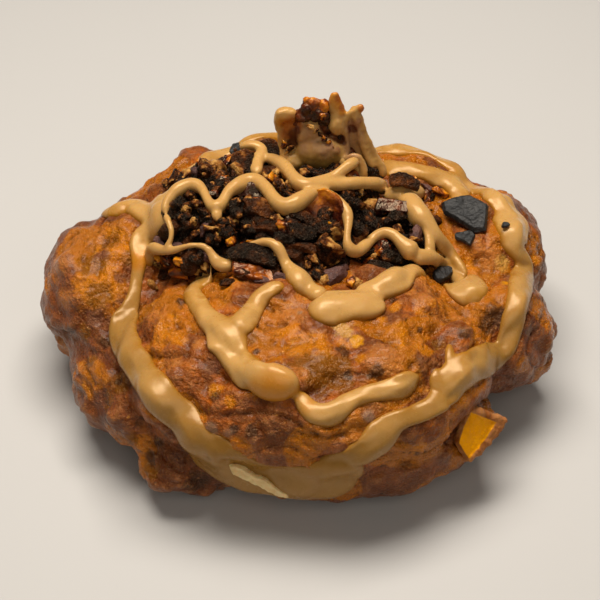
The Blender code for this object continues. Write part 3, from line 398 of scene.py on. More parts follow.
# Patches of colour in the crust: middle and radius, in mm.
CRUST_PATCHES = {
    "amber": [
        (-49, 3, 38, 3.4), (-53, -4, 36, 2.2), (-45, 7, 39, 2), (0, -35, 42, 3.4), (5, -38, 41, 2.5),
        (-2, -30, 42, 2), (10, -34, 41, 1.5), (19, -26, 42, 1.5), (28, -22, 41, 1.5), (42, -1, 35, 1.7),
        (-19, -43, 35, 1.7), (-28, -30, 39, 2), (-30, -23, 39, 1.5), (-16, -47, 36, 1.5),
        (23, -33, 40, 1.5), (51, 0, 34, 1.7), (59, 7, 31, 1.2), (14, -38, 40, 1.5), (-49, -6, 34, 5.9),
        (-45, 4, 38, 3.2), (-53, 0, 37, 2.7), (-47, 9, 38, 2.2), (-32, -26, 38, 2.7),
        (-30, -22, 39, 1.6), (-4, -30, 42, 2.2), (0, -35, 42, 3.8), (4, -34, 42, 2.7),
        (23, -29, 41, 2.2), (29, -33, 39, 2.2), (22, -22, 42, 1.6), (31, -20, 41, 1.4),
        (36, 23, 39, 2.2), (27, -50, 24, 2.2), (37, -40, 29, 2.2), (-11, -47, 39, 2.2),
        (42, 1, 36, 1.4), (61, -12, 13, 1.4), (-15, -53, 24, 1.9), (-27, -49, 28, 1.9),
    ],
    "deep_amber": [
        (-51, 0, 36, 3.6), (-47, 6, 38, 2.6), (-49, -8, 33, 3.2), (-40, -40, 16, 2),
        (-45, -32, 21, 2.4), (-51, -21, 23, 2.2), (-35, -46, 12, 2.4), (-42, -30, 25, 3),
        (4, -42, 40, 4.5), (9, -43, 39, 3.6), (0, -40, 42, 3), (-11, -33, 43, 1.8), (-42, -13, 33, 2),
        (-42, 1, 37, 2.2), (-52, -14, 26, 2.2), (7, -41, 39, 4.3), (3, -48, 40, 2.7),
        (10, -39, 40, 2.2), (32, -30, 37, 1.6), (-49, -9, 32, 2.7), (-13, -35, 43, 1.6),
    ],
    "dark": [
        (-56, -12, 25, 1.2), (-48, -18, 26, 1), (-37, -39, 21, 1.2), (-43, -30, 25, 1),
        (45, -19, 34, 2.5), (46, -17, 35, 1.5), (-10, -37, 42, 1), (22, -19, 41, 1), (28, -28, 40, 1),
        (11, -42, 39, 1.2), (-22, -17, 40, 1), (-28, -17, 39, 1.2), (-15, -51, 31, 1.2),
        (36, -42, 21, 1.2), (27, -50, 23, 1.5), (-33, -42, 17, 1.5), (53, -13, 35, 1),
        (60, -5, 29, 1.2), (47, -18, 35, 3), (-24, -49, 10, 3.2), (27, -44, 35, 1.6),
        (10, -36, 41, 1.6), (38, -27, 38, 1.4), (-35, -44, 14, 1.9), (17, -42, 40, 1.9),
        (53, -15, 37, 1.6), (40, -41, 17, 1.6), (-11, -52, 31, 1.6), (-19, -45, 35, 1.6),
        (-47, -18, 27, 1.9),
    ],
    # Brown patches of painted shade.
    "brown": [
        (-48, -28, 23, 6), (-44, -34, 18, 5), (48, 1, 35, 4.5), (4, -44, 39, 4.5), (-50, -13, 29, 5),
        (55, -16, 32, 4), (-34, -46, 14, 5),
    ],
    "purple": [
        (-49, 2, 38, 2.2), (-50, -13, 30, 2.2), (17, -50, 36, 3), (-44, -4, 35, 1.4),
        (-20, -38, 38, 1.9), (-59, -10, 23, 2.7), (-54, -23, 18, 2.7), (56, -17, 29, 2.7),
        (-48, -31, 20, 2.4), (0, -58, 22, 2.7), (-42, -39, 18, 2.2), (34, -47, 16, 2.4),
        (-5, -42, 42, 1.6), (61, -8, 15, 4), (56, -16, 16, 3),
    ],
    "tan": [
        (-2, -25, 43, 2.5), (1, -21, 43, 2), (29, -19, 41, 2.5), (33, -22, 39, 2), (26, -16, 41, 1.7),
        (-29, -12, 38, 1.5), (-23, -32, 39, 1.5), (-15, -41, 38, 1.2), (10, -27, 42, 1.7),
        (50, 11, 39, 1.5), (53, 4, 37, 1.5), (-59, 20, 35, 1.5), (-49, 24, 36, 1.5), (-60, 2, 35, 4.3),
        (-2, -25, 43, 3.5), (19, -39, 41, 4.3), (32, -13, 40, 4.1), (38, -21, 37, 2.2),
        (-34, -20, 38, 2.4), (46, 2, 38, 3.2), (19, -46, 38, 2.2), (-17, -27, 43, 2.4),
        (-30, -35, 37, 2.7), (7, -27, 45, 2.2), (0, -43, 41, 1.9), (-16, -43, 40, 2.2),
        (-58, -7, 31, 2.4), (-38, 22, 40, 2.7),
    ],
    "film": [
        (-40, -4, 33, 1), (-39, -6, 31, 1), (-25, -45, 32, 1.2), (-24, -48, 30, 1.2),
        (-20, -50, 30, 1.5), (-16, -51, 30, 1.2), (15, -50, 34, 1.5), (11, -51, 34, 1),
        (31, -38, 36, 1), (32, -40, 33, 1.2), (31, -43, 33, 1), (37, -33, 36, 1), (61, -16, 22, 1.2),
        (55, -17, 29, 1.2), (0, -25, 43, 0.7), (-16, -27, 42, 1),
    ],
    "yellow": [(13, -33, 41, 1.7), (50, -7, 35, 1.4)],
    "pale": [(10, -30, 42, 2.2), (50, 1, 35, 2.2)],
}
# Bits of the heap that show one by one: kind, middle, half sizes and yaw, in mm and degrees.
SHOWN_BITS = [
    ("black", (-31.5, 6.7, 47.2), (3.9, 2.2, 2), 55), ("black", (-28.8, 6.7, 48.8), (2.1, 2.2, 2.2), 0),
    ("tan", (-25.3, 6.5, 49.6), (1.6, 1.6, 1.8), 0), ("brown", (-27, 9.9, 49.4), (2.3, 1.6, 1.6), 0),
    ("tan", (-27.4, 4.4, 49.1), (1.3, 1.4, 1.5), 0), ("black", (-27.9, 3.1, 48.3), (2.3, 1.9, 1.8), 0),
    ("brown", (-26.8, 0.9, 47.6), (2.3, 1.9, 1.8), 10), ("tan", (-25.6, 1.1, 48.3), (1, 1.1, 1.3), 0),
    ("brown", (-23.2, 3.1, 49.2), (1.8, 1.9, 2), 0), ("purple", (-23.3, -0.8, 47.7), (1, 1.9, 1.8), 0),
    ("brown", (-21.9, -1, 47.8), (1.3, 2.2, 2), 80), ("tan", (-19.5, -0.4, 48), (1.6, 2.2, 2), 80),
    ("tan", (-19.9, -3.1, 46.8), (1, 1.4, 1.4), 0), ("black", (-21.1, -3.3, 46.4), (1.8, 1.9, 1.8), 0),
    ("orange", (-16.6, -3.6, 46), (1.3, 1.4, 1.5), 0),
    ("black", (-17.8, -1.6, 47.4), (2.1, 1.9, 1.8), 0), ("black", (-15, 3.4, 49), (2.3, 2.2, 2), 0),
    ("black", (-15.6, 6.3, 50), (2.1, 1.6, 1.6), 0), ("black", (-18.8, 0.9, 48.5), (2.1, 1.9, 1.8), 0),
    ("brown", (-12.2, 6.8, 49.7), (2.1, 1.6, 1.4), -20),
    ("brown", (-7.7, -1.6, 48.7), (3.4, 2.2, 1.8), 10), ("tan", (-5.5, 0, 49.5), (2.1, 1.6, 1.8), -10),
    ("red", (-3.8, -2.4, 49.1), (1.6, 1.9, 1.8), 0), ("black", (-12, -0.4, 47.7), (2.6, 2.2, 2), -20),
    ("black", (-9.1, -3.7, 47.3), (2.6, 1.6, 1.4), 0),
    ("black", (-3.8, -4.4, 47.9), (2.6, 1.9, 1.6), 0), ("tan", (-23.3, 21.2, 48.4), (1.8, 3, 2.7), 85),
    ("tan", (-24.7, 27.3, 46.4), (1.3, 1.4, 1.4), 0),
    ("brown", (-28.4, 20.8, 47.5), (2.6, 1.9, 1.8), -10),
    ("purple", (-26.3, 21.2, 47.8), (1.3, 1.6, 1.6), 0),
    ("brown", (-31.9, 25.7, 42.5), (2.3, 1.6, 1.4), -20),
    ("brown", (-34, 24.9, 41.5), (1.3, 1.1, 1.1), 0),
    ("brown", (-14.6, 24.9, 49.1), (2.1, 1.9, 1.8), 60),
    ("tan", (-13.9, 27.7, 48.9), (1.6, 1.1, 1.2), 10),
    ("brown", (-15.7, 19.3, 48.9), (1.8, 3, 2.4), 80),
    ("black", (-13.5, 20.9, 48.3), (1.6, 3.2, 2.2), 85),
    ("brown", (-18.2, 14.2, 50.4), (2.1, 1.6, 1.6), 0),
    ("red", (-19.3, 15.2, 50.2), (1.6, 1.4, 1.4), 0),
    ("black", (-20.6, 11.6, 50.5), (2.1, 1.9, 1.8), 0), ("red", (-21.3, 9.2, 50.2), (1.8, 1.6, 1.6), 0),
    ("black", (-9.9, 40, 43.9), (1, 1.1, 0.9), 0), ("brown", (-7.6, 29, 49.1), (3.4, 1.6, 1.6), 0),
    ("black", (-5.6, 28.6, 49.2), (1.3, 1.4, 1.4), 0), ("tan", (-5.7, 18.4, 50.3), (1.8, 2.2, 2.2), 0),
    ("tan", (-4.9, 12, 51.2), (1.8, 2.2, 2.2), 0), ("orange", (-6.9, 14.3, 50.9), (1, 1.6, 1.6), 80),
    ("brown", (-2.2, 12, 51.4), (1.8, 2.4, 2), 70), ("brown", (-3.4, 8.2, 51.3), (1.8, 1.1, 1.1), 0),
    ("purple", (-34.7, 1.2, 41.6), (2.3, 1.1, 0.7), -5),
    ("purple", (-29.7, -2.7, 44), (1.8, 1.1, 0.7), 0), ("red", (-32.4, -3, 39.1), (2.3, 1.6, 1.6), 0),
    ("orange", (-34.3, -0.5, 38.3), (1.6, 1.4, 1.4), 0), ("tan", (-35.8, 1.4, 34.7), (1, 1.9, 1.4), 60),
    ("orange", (-28.5, -5.5, 41.3), (1.8, 1.6, 1.8), 0), ("black", (-25, -6.4, 43), (2.1, 1.9, 2), 0),
    ("black", (-23.3, -5.9, 43.8), (1.3, 1.6, 1.6), 0),
    ("purple", (-22.3, -6.1, 43.7), (1.6, 2.7, 1.7), 70),
    ("red", (-29.6, -5.5, 37.8), (3.1, 1.6, 1.4), 5),
    ("brown", (-25.3, -7.1, 39.5), (2.3, 1.6, 1.4), 0),
    ("brown", (-33.7, -1.7, 33.5), (2.6, 1.6, 1.3), 20),
    ("tan", (-36.4, -3.8, 32.4), (2.3, 1.4, 1), 25), ("brown", (-22.8, -7.4, 41), (1.6, 1.6, 1.4), 0),
    ("brown", (-10.8, -9, 41.1), (3.6, 1.9, 1.2), -10),
    ("brown", (-13.6, -11.7, 42.5), (2.6, 1.6, 1.3), 0),
    ("purple", (-9, -13, 41.7), (2.3, 1.4, 0.8), -10),
    ("brown", (-17.1, -13.7, 41.8), (2.1, 1.1, 0.8), 0),
    ("brown", (-5.7, -10, 42), (2.3, 2.2, 1.6), -30),
    ("purple", (-4.7, -15.3, 44.1), (1.8, 1.4, 1), -20), ("black", (0, -3, 48.6), (4.2, 2.2, 1.6), -20),
    ("black", (6, -1, 48.2), (3.6, 1.9, 1.4), -15), ("brown", (0.7, -6.5, 46.8), (3.6, 1.6, 1.1), -25),
    ("brown", (-1.2, -7.9, 45.2), (2.6, 1.9, 1.4), -20), ("tan", (2.1, -9.2, 43.2), (1, 1.4, 1.5), 0),
    ("brown", (3.3, -8.1, 44.4), (2.1, 1.6, 1.4), -10), ("tan", (7.9, -1.2, 47.4), (1.6, 2.4, 2.5), 70),
    ("orange", (7.5, -0.6, 47.9), (1, 1.4, 1.5), 0), ("brown", (7.4, -5.1, 45.4), (3.1, 3.5, 3.1), 0),
    ("tan", (9.1, -5.5, 43.5), (1.3, 1.6, 1.6), 0), ("brown", (5.3, -4.7, 46.6), (1.6, 2.4, 2.2), 80),
    ("black", (10.8, -3, 44.5), (1.6, 3.2, 2.2), 80), ("brown", (4, -11.7, 42.2), (1.6, 2.2, 1.8), 60),
    ("purple", (8.3, -11.1, 41.4), (3.9, 2.4, 1.8), -5), ("tan", (5.7, -12.9, 42), (1.6, 1.6, 1.6), 0),
    ("orange", (11.9, -13.5, 41.6), (1.3, 1.6, 1.6), 0),
    ("purple", (10.1, -8.1, 41), (2.1, 1.4, 1.1), -10),
    ("tan", (13.5, -13.5, 41.6), (1.6, 1.9, 1.4), 40), ("brown", (3.8, -9.2, 42.6), (1.8, 1.6, 1.3), 0),
    ("brown", (14.4, 14.2, 46.9), (1.8, 1.6, 1.6), 0), ("tan", (14.6, 14.3, 46.8), (1, 1.6, 1.8), 0),
    ("brown", (18, 16.9, 44.2), (2.3, 1.6, 1.6), 0), ("brown", (17, 13.9, 43.4), (2.3, 2.2, 2), 0),
    ("black", (12.8, 9.3, 47.7), (1.8, 2.2, 2), 0), ("black", (11.1, 11.2, 48.7), (2.1, 1.4, 1.2), 0),
    ("purple", (23.9, 12.8, 44.3), (3.9, 1.9, 1.4), 5), ("red", (20.5, 10.8, 44.3), (2.3, 1.6, 1.4), 0),
    ("black", (24.2, 8.4, 44.3), (3.1, 1.9, 1.6), 0), ("black", (17.8, 7.9, 43.4), (3.6, 2.4, 2), 0),
    ("black", (14.1, 2.8, 45.1), (2.1, 2.4, 2), 0), ("black", (20.9, 6.4, 44), (2.1, 1.9, 1.6), 0),
    ("tan", (24.2, 3.4, 43.6), (1.6, 1.9, 2), 0), ("black", (25.6, 1.7, 42.8), (2.1, 1.6, 1.6), 0),
    ("purple", (28.7, 3.8, 42.7), (2.6, 1.6, 1.4), 10),
    ("black", (31.1, 2.9, 41.2), (1.3, 1.9, 1.8), 80), ("brown", (27.8, 1.5, 42.3), (2.1, 1.4, 1.2), 0),
    ("red", (20.2, -0.3, 41.9), (2.3, 2.2, 1.8), 0), ("black", (17.1, -0.1, 40.5), (2.1, 1.6, 1.4), 0),
    ("tan", (18.3, -2, 39.6), (1.3, 1.1, 1.3), 0), ("red", (16.8, -2.6, 39.1), (2.1, 1.1, 1.1), 0),
    ("brown", (15.1, -1.3, 39.9), (1.8, 1.6, 1.6), 0),
    ("black", (22.3, -2.5, 40.6), (2.6, 2.2, 1.8), 0), ("black", (19.3, -5.8, 40.3), (3.6, 1.4, 1), 0),
    ("purple", (26.2, 27.9, 41), (3.4, 1.1, 0.7), 5), ("tan", (26.9, 26.4, 40.6), (3.6, 0.8, 0.7), 5),
    ("orange", (29.3, 28, 41.3), (0.8, 1.1, 1.2), 0), ("red", (32.7, 23.6, 39.5), (1.6, 2.2, 2), 80),
    ("black", (33.4, 22.5, 38.8), (0.8, 1.1, 1.3), 0),
    ("orange", (36.1, 23.9, 38.9), (1.8, 2.4, 1.3), 0),
    ("orange", (37.4, 20.2, 38.3), (1.3, 1.9, 1.2), 60),
    ("purple", (32.5, 25.3, 40.5), (1.8, 0.8, 0.7), 10),
    ("brown", (36, 26.7, 39.1), (1.6, 0.8, 0.7), 0), ("black", (4.4, 16.2, 51.6), (2.3, 1.6, 1.6), 0),
    ("brown", (0.7, 15.9, 50.9), (1.8, 1.6, 1.6), 0), ("black", (2, 17.7, 51.4), (2.1, 1.6, 1.4), 0),
    ("black", (7.4, 16.4, 51.7), (1.6, 1.4, 1.2), 0),
]
# Slabs and folds of bacon in the heap: finish, thickness, number of rows, and the points of the rows
# with their tone, in mm.
HEAP_SHEETS = {
    "curved_sheet": ("glazed", 1.1, 3, [
        (-1, 7.2, 51.5, 0.9), (2.7, 7.6, 53, 1), (6.3, 7.2, 53.9, 1), (9.7, 5.8, 52.3, 0.75),
        (0, 4.6, 50.4, 0.65), (3.4, 5.6, 50.3, 0.6), (7.1, 5.4, 49.8, 0.5), (10.9, 3.6, 49.1, 0.3),
        (1, 2.6, 49.2, 0.3), (4.4, 3, 47, 0.25), (8.1, 2.6, 45.2, 0.15), (11.2, 0.8, 43.2, 0.1),
    ]),
    "red_fold": ("glazed", 1.2, 2, [
        (-16.3, 11.7, 50.1, 0.3), (-13.8, 12.4, 51.7, 0.3), (-10.8, 11.8, 51.6, 0.25),
        (-8.6, 10.2, 50.4, 0.2), (-15.5, 9.2, 49.3, 0.2), (-13.3, 9.2, 49.3, 0.15),
        (-10.8, 8.8, 49.3, 0.1), (-8.3, 8.2, 48.8, 0.1),
    ]),
    "jam": ("glazed", 1.6, 2, [
        (-16.5, -8.3, 43.9, 0.35), (-12, -9.3, 43.5, 0.55), (-7.9, -9.8, 42.7, 0.5),
        (-4.3, -10.3, 41.5, 0.4), (-15.7, -11.8, 43.1, 0.45), (-11.4, -12.8, 42.4, 0.6),
        (-7.6, -13.4, 41.4, 0.55), (-3.6, -14.2, 40.5, 0.45),
    ]),
    "low_ledge": ("candied", 1.2, 2, [
        (-2.4, 2.6, 51.4, 0.5), (1, 2, 50.7, 0.6), (4.6, 1, 49.3, 0.6), (8.5, -0.2, 47.2, 0.55),
        (-2.6, 0.2, 50.9, 0.3), (0.5, -0.6, 49.7, 0.15), (3.9, -1.6, 48, 0.1), (7.5, -2.8, 46.2, 0.1),
    ]),
    "brown_slab": ("candied", 2, 2, [
        (-13.9, 5.6, 51.2, 0.45), (-10.7, 5.8, 52, 0.6), (-7.8, 5.2, 51.2, 0.62),
        (-4.9, 3.8, 49.8, 0.5), (-12.8, 2.2, 50.8, 0.35), (-10.4, 1.8, 49.6, 0.5),
        (-7.8, 1.7, 48.7, 0.45), (-5.1, 1.8, 48.7, 0.35),
    ]),
    "flake": ("candied", 1.3, 2, [
        (-17.5, -6.4, 45.4, 0.12), (-14.4, -5.4, 46.8, 0.05), (-10.3, -5.4, 47.1, 0.1),
        (-5.3, -6.8, 45.1, 0.15), (-16.7, -9, 45.1, 0.3), (-13.4, -9.2, 45, 0.15),
        (-9.8, -9.8, 44.3, 0.1), (-6, -10.4, 43.5, 0.2),
    ]),
    "front_sheet": ("candied", 1.4, 2, [
        (-3.8, -4.4, 46.9, 0.6), (-0.7, -5.2, 45.4, 0.4), (2.4, -6.6, 43.1, 0.5), (5.5, -8, 40.8, 0.6),
        (-4.1, -8.2, 45.4, 0.3), (-1.7, -9.6, 43.4, 0.35), (1.4, -11.2, 41.4, 0.3),
        (4.5, -12.8, 39.6, 0.35),
    ]),
    "back_slab": ("candied", 1.8, 3, [
        (-16.8, 23.6, 51.9, 0.85), (-14.3, 24.2, 53.1, 0.7), (-11.8, 24.2, 51.8, 0.6),
        (-17, 20.6, 50.1, 0.4), (-14.5, 20.6, 50.1, 0.25), (-12, 20.2, 49.8, 0.2),
        (-17.2, 17.8, 48.2, 0.2), (-14.7, 16.6, 47.2, 0.1), (-12.2, 16.6, 47.2, 0.1),
    ]),
    "right_sheet": ("glazed", 1.2, 2, [
        (19.3, 12.2, 46.9, 0.35), (23.3, 11.8, 46.6, 0.3), (27.5, 11.4, 46.3, 0.25),
        (18.3, 8.8, 45.8, 0.15), (22.7, 8.4, 45.2, 0.1), (26.6, 8.2, 45.4, 0.1),
    ]),
    "high_slab": ("candied", 1.6, 2, [
        (-10.7, 29.2, 51.5, 0.35), (-7.6, 29.8, 51.7, 0.3), (-4.1, 29.2, 50.3, 0.25),
        (-10.1, 26.8, 49.5, 0.2), (-7.4, 26.6, 49.1, 0.15), (-4.3, 26.6, 49.1, 0.15),
    ]),
    "right_slab": ("candied", 1.5, 2, [
        (22, 18.2, 49.5, 0.55), (26, 18.8, 49.6, 0.35), (30, 17.2, 48, 0.3), (22.4, 15.6, 48, 0.75),
        (25.9, 15.4, 47.9, 0.7), (29.4, 14.8, 47.1, 0.5),
    ]),
}
# Glazed shapes that stand up from the heap: (x, y, z, radius) down each one, and how flat it is.
CROWN_SHAPES = {
    "left_rim": (0.7, [
        (-5.2, 25, 62.6, 1.1), (-5.6, 25, 61, 0.9), (-5, 25, 58.9, 0.9), (-4.5, 24.8, 56.9, 0.9),
        (-4.2, 24.5, 54.7, 1), (-4, 24, 52.9, 1.3), (-3.8, 23, 51.2, 1.5),
    ]),
    "left_top": (0.8, [
        (-5.2, 25, 62.9, 1.1), (-3.7, 25.2, 63.5, 1), (-2, 25.4, 63.3, 1), (-0.5, 25.6, 62.4, 1),
    ]),
    "left_back": (0.7, [
        (-3, 26.2, 60.2, 2), (-2.7, 26.2, 57.4, 2), (-2.5, 26.2, 54.7, 2), (-2.3, 25.8, 52.2, 2),
    ]),
    "face": (0.7, [
        (0.7, 25.2, 60, 1.5), (1, 25, 58, 2), (1.5, 24.8, 55.7, 2.1), (1.8, 24.6, 53.1, 2.3),
        (2, 24.2, 50.2, 2.1),
    ]),
    "face_right": (0.7, [
        (3.2, 25.2, 58.5, 1.5), (4.5, 25, 56.8, 2), (4.7, 24.6, 54.6, 2.2), (5, 24.4, 52, 2.3),
        (5.3, 24, 49.8, 2),
    ]),
    "skirt": (0.7, [(7.5, 25, 52.8, 1.8), (7.8, 24.8, 50.7, 2), (8.1, 24.4, 48.8, 1.5)]),
    "skirt_right": (0.7, [(10, 25.2, 52.6, 1.5), (10.3, 25, 50.3, 1.8), (10.1, 24.6, 48.4, 1.3)]),
    "roll": (0.9, [
        (-4, 23.4, 51.2, 1.3), (-2.8, 22.8, 50.7, 1.5), (-1, 22.5, 50.3, 1.5), (1, 22.4, 49.7, 1.3),
        (3.3, 22.4, 49.4, 1.1), (5.8, 22.4, 49.1, 1), (8, 22.6, 49.3, 1),
    ]),
    "leaf": (0.7, [
        (8.5, 26, 67.6, 1.5), (8.7, 26, 66.2, 1.8), (9, 26, 64.4, 2.1), (9.2, 25.8, 62.4, 2.3),
        (9.2, 25.6, 60.4, 2.4), (9.1, 25.4, 58.8, 2.1), (9, 25.4, 57.4, 1.4),
    ]),
    "leaf_foot": (0.6, [
        (10.4, 26, 63.4, 0.6), (11.2, 26, 60.4, 1.1), (11.5, 25.9, 57.5, 1.3), (11.5, 25.6, 53.7, 1.5),
    ]),
    "plate": (0.35, [
        (13.2, 26.6, 63.6, 1), (12.9, 26.6, 61.9, 1.3), (12.9, 26.6, 59.9, 1.8),
        (13.2, 26.5, 57.6, 2.1), (13.5, 26.4, 55.3, 2.2), (13.5, 26.2, 52.8, 2.5),
        (13.8, 26, 50.3, 2.5), (14.1, 25.6, 47.9, 2.5), (14.4, 25, 46, 2.5),
    ]),
    "rib": (0.9, [
        (13.7, 25.9, 64.3, 0.6), (14.9, 25.8, 61.4, 0.8), (15.7, 25.7, 59, 0.8),
        (16.5, 25.6, 56.4, 0.8), (17.3, 25.4, 53.7, 0.9), (18.4, 25.2, 51.4, 1),
        (19.4, 24.9, 49.2, 1.1), (20.5, 24.4, 47.1, 1.3), (21.3, 24, 45.4, 1.3),
    ]),
    "inner_rib": (0.9, [
        (13.4, 25.4, 63.6, 0.6), (14, 25.1, 60, 0.7), (14.9, 24.9, 56.5, 0.8), (16, 24.6, 53.1, 0.9),
        (17.1, 24.2, 50.2, 1), (18.2, 23.6, 47.9, 1),
    ]),
    "edge_rib": (0.9, [
        (12.4, 25.4, 63.5, 0.6), (11.6, 25.1, 61.4, 0.7), (11.4, 24.9, 58.9, 0.8),
        (11.5, 24.7, 56.3, 0.8), (11.7, 24.4, 53.4, 0.9), (12, 24, 50.6, 1),
    ]),
    "loop": (0.9, [
        (9.6, 22, 47.5, 1.5), (11, 21.6, 50.3, 1.3), (12.7, 21.4, 52.7, 1.1), (14.2, 21.2, 52.8, 1.1),
        (15.2, 21, 51.1, 1.1), (15.8, 20.6, 49.2, 1.3), (15.5, 20.2, 47.3, 1.5),
    ]),
}
# Fuller swells of the same glaze: centre, half sizes and yaw, in mm and degrees.
CROWN_LOBES = {
    "face": ((5.2, 24, 52), (6.4, 4, 5.4), 0),
    "upper_face": ((2.6, 25.4, 56.8), (3.8, 2.9, 5.2), 0),
    "cheek": ((8.4, 24.4, 50.8), (4.4, 3.8, 4), 0),
    "shelf": ((-1.4, 23.6, 49.8), (4, 3, 2.8), 0),
    "shell_top": ((-3.4, 25.8, 62.4), (3.1, 1.8, 2.2), 0),
    "bead": ((14.9, 26, 64.3), (1, 0.9, 1.1), 0),
    "shell_side": ((-5.3, 25.6, 60.4), (1.2, 1.5, 3.2), 0),
    "shell_low": ((-4.8, 25.2, 55), (0.8, 1.4, 3.8), 0),
    "shell_web": ((-2.2, 26.3, 58.2), (2.8, 1, 5), 0),
    "leaf_bulge": ((9.1, 24.8, 59.6), (2.1, 1.7, 2.8), 0),
    "plate_middle": ((13.3, 26.2, 56.4), (2.3, 1.1, 6.2), 0),
    "plate_foot": ((15.2, 26, 48.8), (4.4, 0.9, 4.2), 0),
}
# Patches of colour in the glaze of the crown: middle and radius, in mm.
CROWN_PATCHES = {
    "meat": [
        (0.6, 22.4, 60.8, 1.2), (2.4, 22.2, 60.6, 1.2), (4.2, 21.8, 59.6, 1.2), (6, 21.4, 57.8, 1.2),
        (7.6, 21.4, 56.2, 1.1), (9.4, 21.4, 54.6, 1), (13, 25, 59.6, 1.8), (14.4, 25.6, 61, 1),
        (14.9, 25.6, 57.4, 1), (15.8, 25.4, 54.6, 1), (16.8, 25.2, 51.6, 1),
    ],
    "caramel": [
        (-4.6, 24.6, 61.2, 1.4), (8.6, 25, 68.2, 2.6), (9.8, 25, 66, 1.8), (10.4, 25, 63.8, 1.1),
    ],
    # Dark syrup on the lower face, partly painted shade.
    "syrup": [
        (5.2, 19.8, 49.6, 4.4), (9.8, 20.6, 49.4, 3.6), (1.6, 20.6, 49.6, 3), (5, 20.2, 52.4, 3.2),
        (8.6, 20.6, 52, 2.6), (1, 21.2, 52.6, 2.4),
    ],
    "blush": [
        (1.6, 21.4, 59, 3), (3.8, 21, 57.4, 2.8), (6.4, 20.8, 55.8, 2.4), (0.4, 21.8, 56, 2.2),
        (13, 24.6, 56, 2.6), (12.6, 24.4, 53, 2.4), (13, 20.8, 53.6, 2),
    ],
    "web": [
        (-2.4, 25.2, 60.6, 2.6), (-3, 25.2, 57.6, 2), (-0.6, 25.2, 60, 1.8), (15.2, 25.6, 64.4, 1),
        (9.8, 25.2, 67.4, 1.2), (10.6, 25.2, 65, 1.1),
    ],
    "stain": [
        (-1.4, 25.2, 57, 1.8), (-2, 25, 54.6, 1.6), (-0.4, 24.6, 58.6, 1.2), (12.9, 24.8, 58.6, 1.3),
        (5.6, 24.4, 59.6, 1.2), (6.6, 24.2, 58.4, 1.3), (7.4, 24.2, 57.6, 1.3), (8.6, 24.2, 56.8, 1.3),
        (9.8, 24.4, 56, 1.5), (10.8, 24.6, 55, 1),
    ],
}
# Where the drizzle over the front is a clear caramel.
CARAMEL_PATCHES = [
    (-5.5, -46.5, 39.5, 4.6), (-9, -45.5, 39.5, 2.6), (-39.5, 0.5, 36.5, 2.6), (2, -49.5, 36, 2),
]
# The wet bacon inside the crown: middle, radius and tone of each lump of it, in mm.
CROWN_BACON = [
    (2, 25.2, 64.6, 2.1, 0.35), (0.8, 25.4, 62.6, 2.1, 0.3), (4.2, 25.4, 63.2, 2.2, 0.22),
    (5.8, 25.6, 65.2, 1.6, 0.8), (1.9, 25.6, 66.4, 1.2, 0.5), (4, 25.8, 65.8, 1.4, 0.45),
    (6, 25.8, 61.6, 2.2, 0.12), (7, 26, 58.8, 2.2, 0.1), (5.5, 26, 59, 2.4, 0.15),
    (-0.7, 26.4, 60.4, 1.8, 0.4), (1.2, 26.8, 56, 3, 0.2), (5, 26.8, 56, 3, 0.2),
    (8.4, 27, 57.4, 2.4, 0.1), (10.3, 26.6, 56, 1.8, 0.1), (3, 26.8, 51.8, 3.4, 0.2),
    (7.4, 26.8, 52.4, 3.2, 0.2), (11.2, 26.8, 53.6, 2.6, 0.3), (2, 26, 47.6, 4, 0.1),
    (8, 26, 47.8, 4, 0.1), (12.6, 26.2, 48.8, 3.4, 0.15), (4, 29, 50, 3.6, 0.25),
    (9, 29, 49.6, 3.4, 0.15), (6.4, 28.6, 55, 2.8, 0.3), (2.6, 28.4, 58.6, 2.2, 0.35),
    (-2.6, 27.6, 56, 2.2, 0.2), (12.8, 28, 52.4, 2.4, 0.2),
]
# Hollows of the heap, dark with painted shade: middle and radius, in mm, and how deep they go.
CAVES = [
    (-19, -1, 47, 3), (-22, 7, 49, 1.8), (-1, -3, 47.5, 3.2), (3, -4, 46, 2.6), (16, 5, 43, 4.5),
    (21, 6, 43, 4.5), (25, 5, 43, 3), (5, 19, 49, 3), (2, 17, 49, 2.4), (-13, -1, 47, 2.2),
    (18, 0, 40, 2.5),
]
CAVE_DEPTH = 4.0
CAVE_EDGE = 0.3
# How much painted shade darkens the hollows.
CAVE_SHADE = 0.4
RUBBLE_SINK = 0.4
# How much painted shade darkens all the rubble under the bits.
RUBBLE_SHADE = 0.02
# Sizes of the crumbs, in mm.
CRUMB_SIZE = 2.3
CHUNK_CRUMB_SIZE = 1.5
SHEET_CRUMB_SIZE = 1.6
CHUNK_FLATNESS = 0.8
CROWN_THICKNESS = 0.8
SHEET_CURVE_STEPS = 6
CROWN_CURVE_STEPS = 5
# Bits on the crown, in the same columns as the others.
CROWN_BITS = [
    ("tan", (2.6, 22.6, 61), (1.3, 0.6, 0.7), -30), ("tan", (4, 22.4, 60), (0.8, 0.5, 0.6), 20),
    ("brown", (5.1, 22.2, 58.8), (0.9, 0.5, 0.6), -40), ("red", (6.1, 22, 57.7), (0.9, 0.6, 0.7), -30),
    ("orange", (7.1, 22, 56.6), (0.7, 0.5, 0.8), 0), ("brown", (8, 22, 55.4), (0.8, 0.5, 0.5), -30),
    ("red", (6, 23.8, 63.2), (1.1, 0.8, 1), 20), ("tan", (-2.7, 23.4, 53.6), (1.5, 0.8, 1.8), 20),
    ("orange", (-3.8, 23.6, 54.9), (0.9, 0.7, 1.2), 0),
    ("black", (4.5, 20.4, 47.2), (1.8, 1.3, 1.3), 0), ("black", (1.5, 20.2, 47.4), (1.5, 1.3, 1.3), 0),
    ("black", (7.4, 20.2, 47), (1.6, 1.2, 1.2), 0),
]
# The way that the crown's bits face.
CROWN_BIT_NORMAL = Vector((0, -0.3, 1))
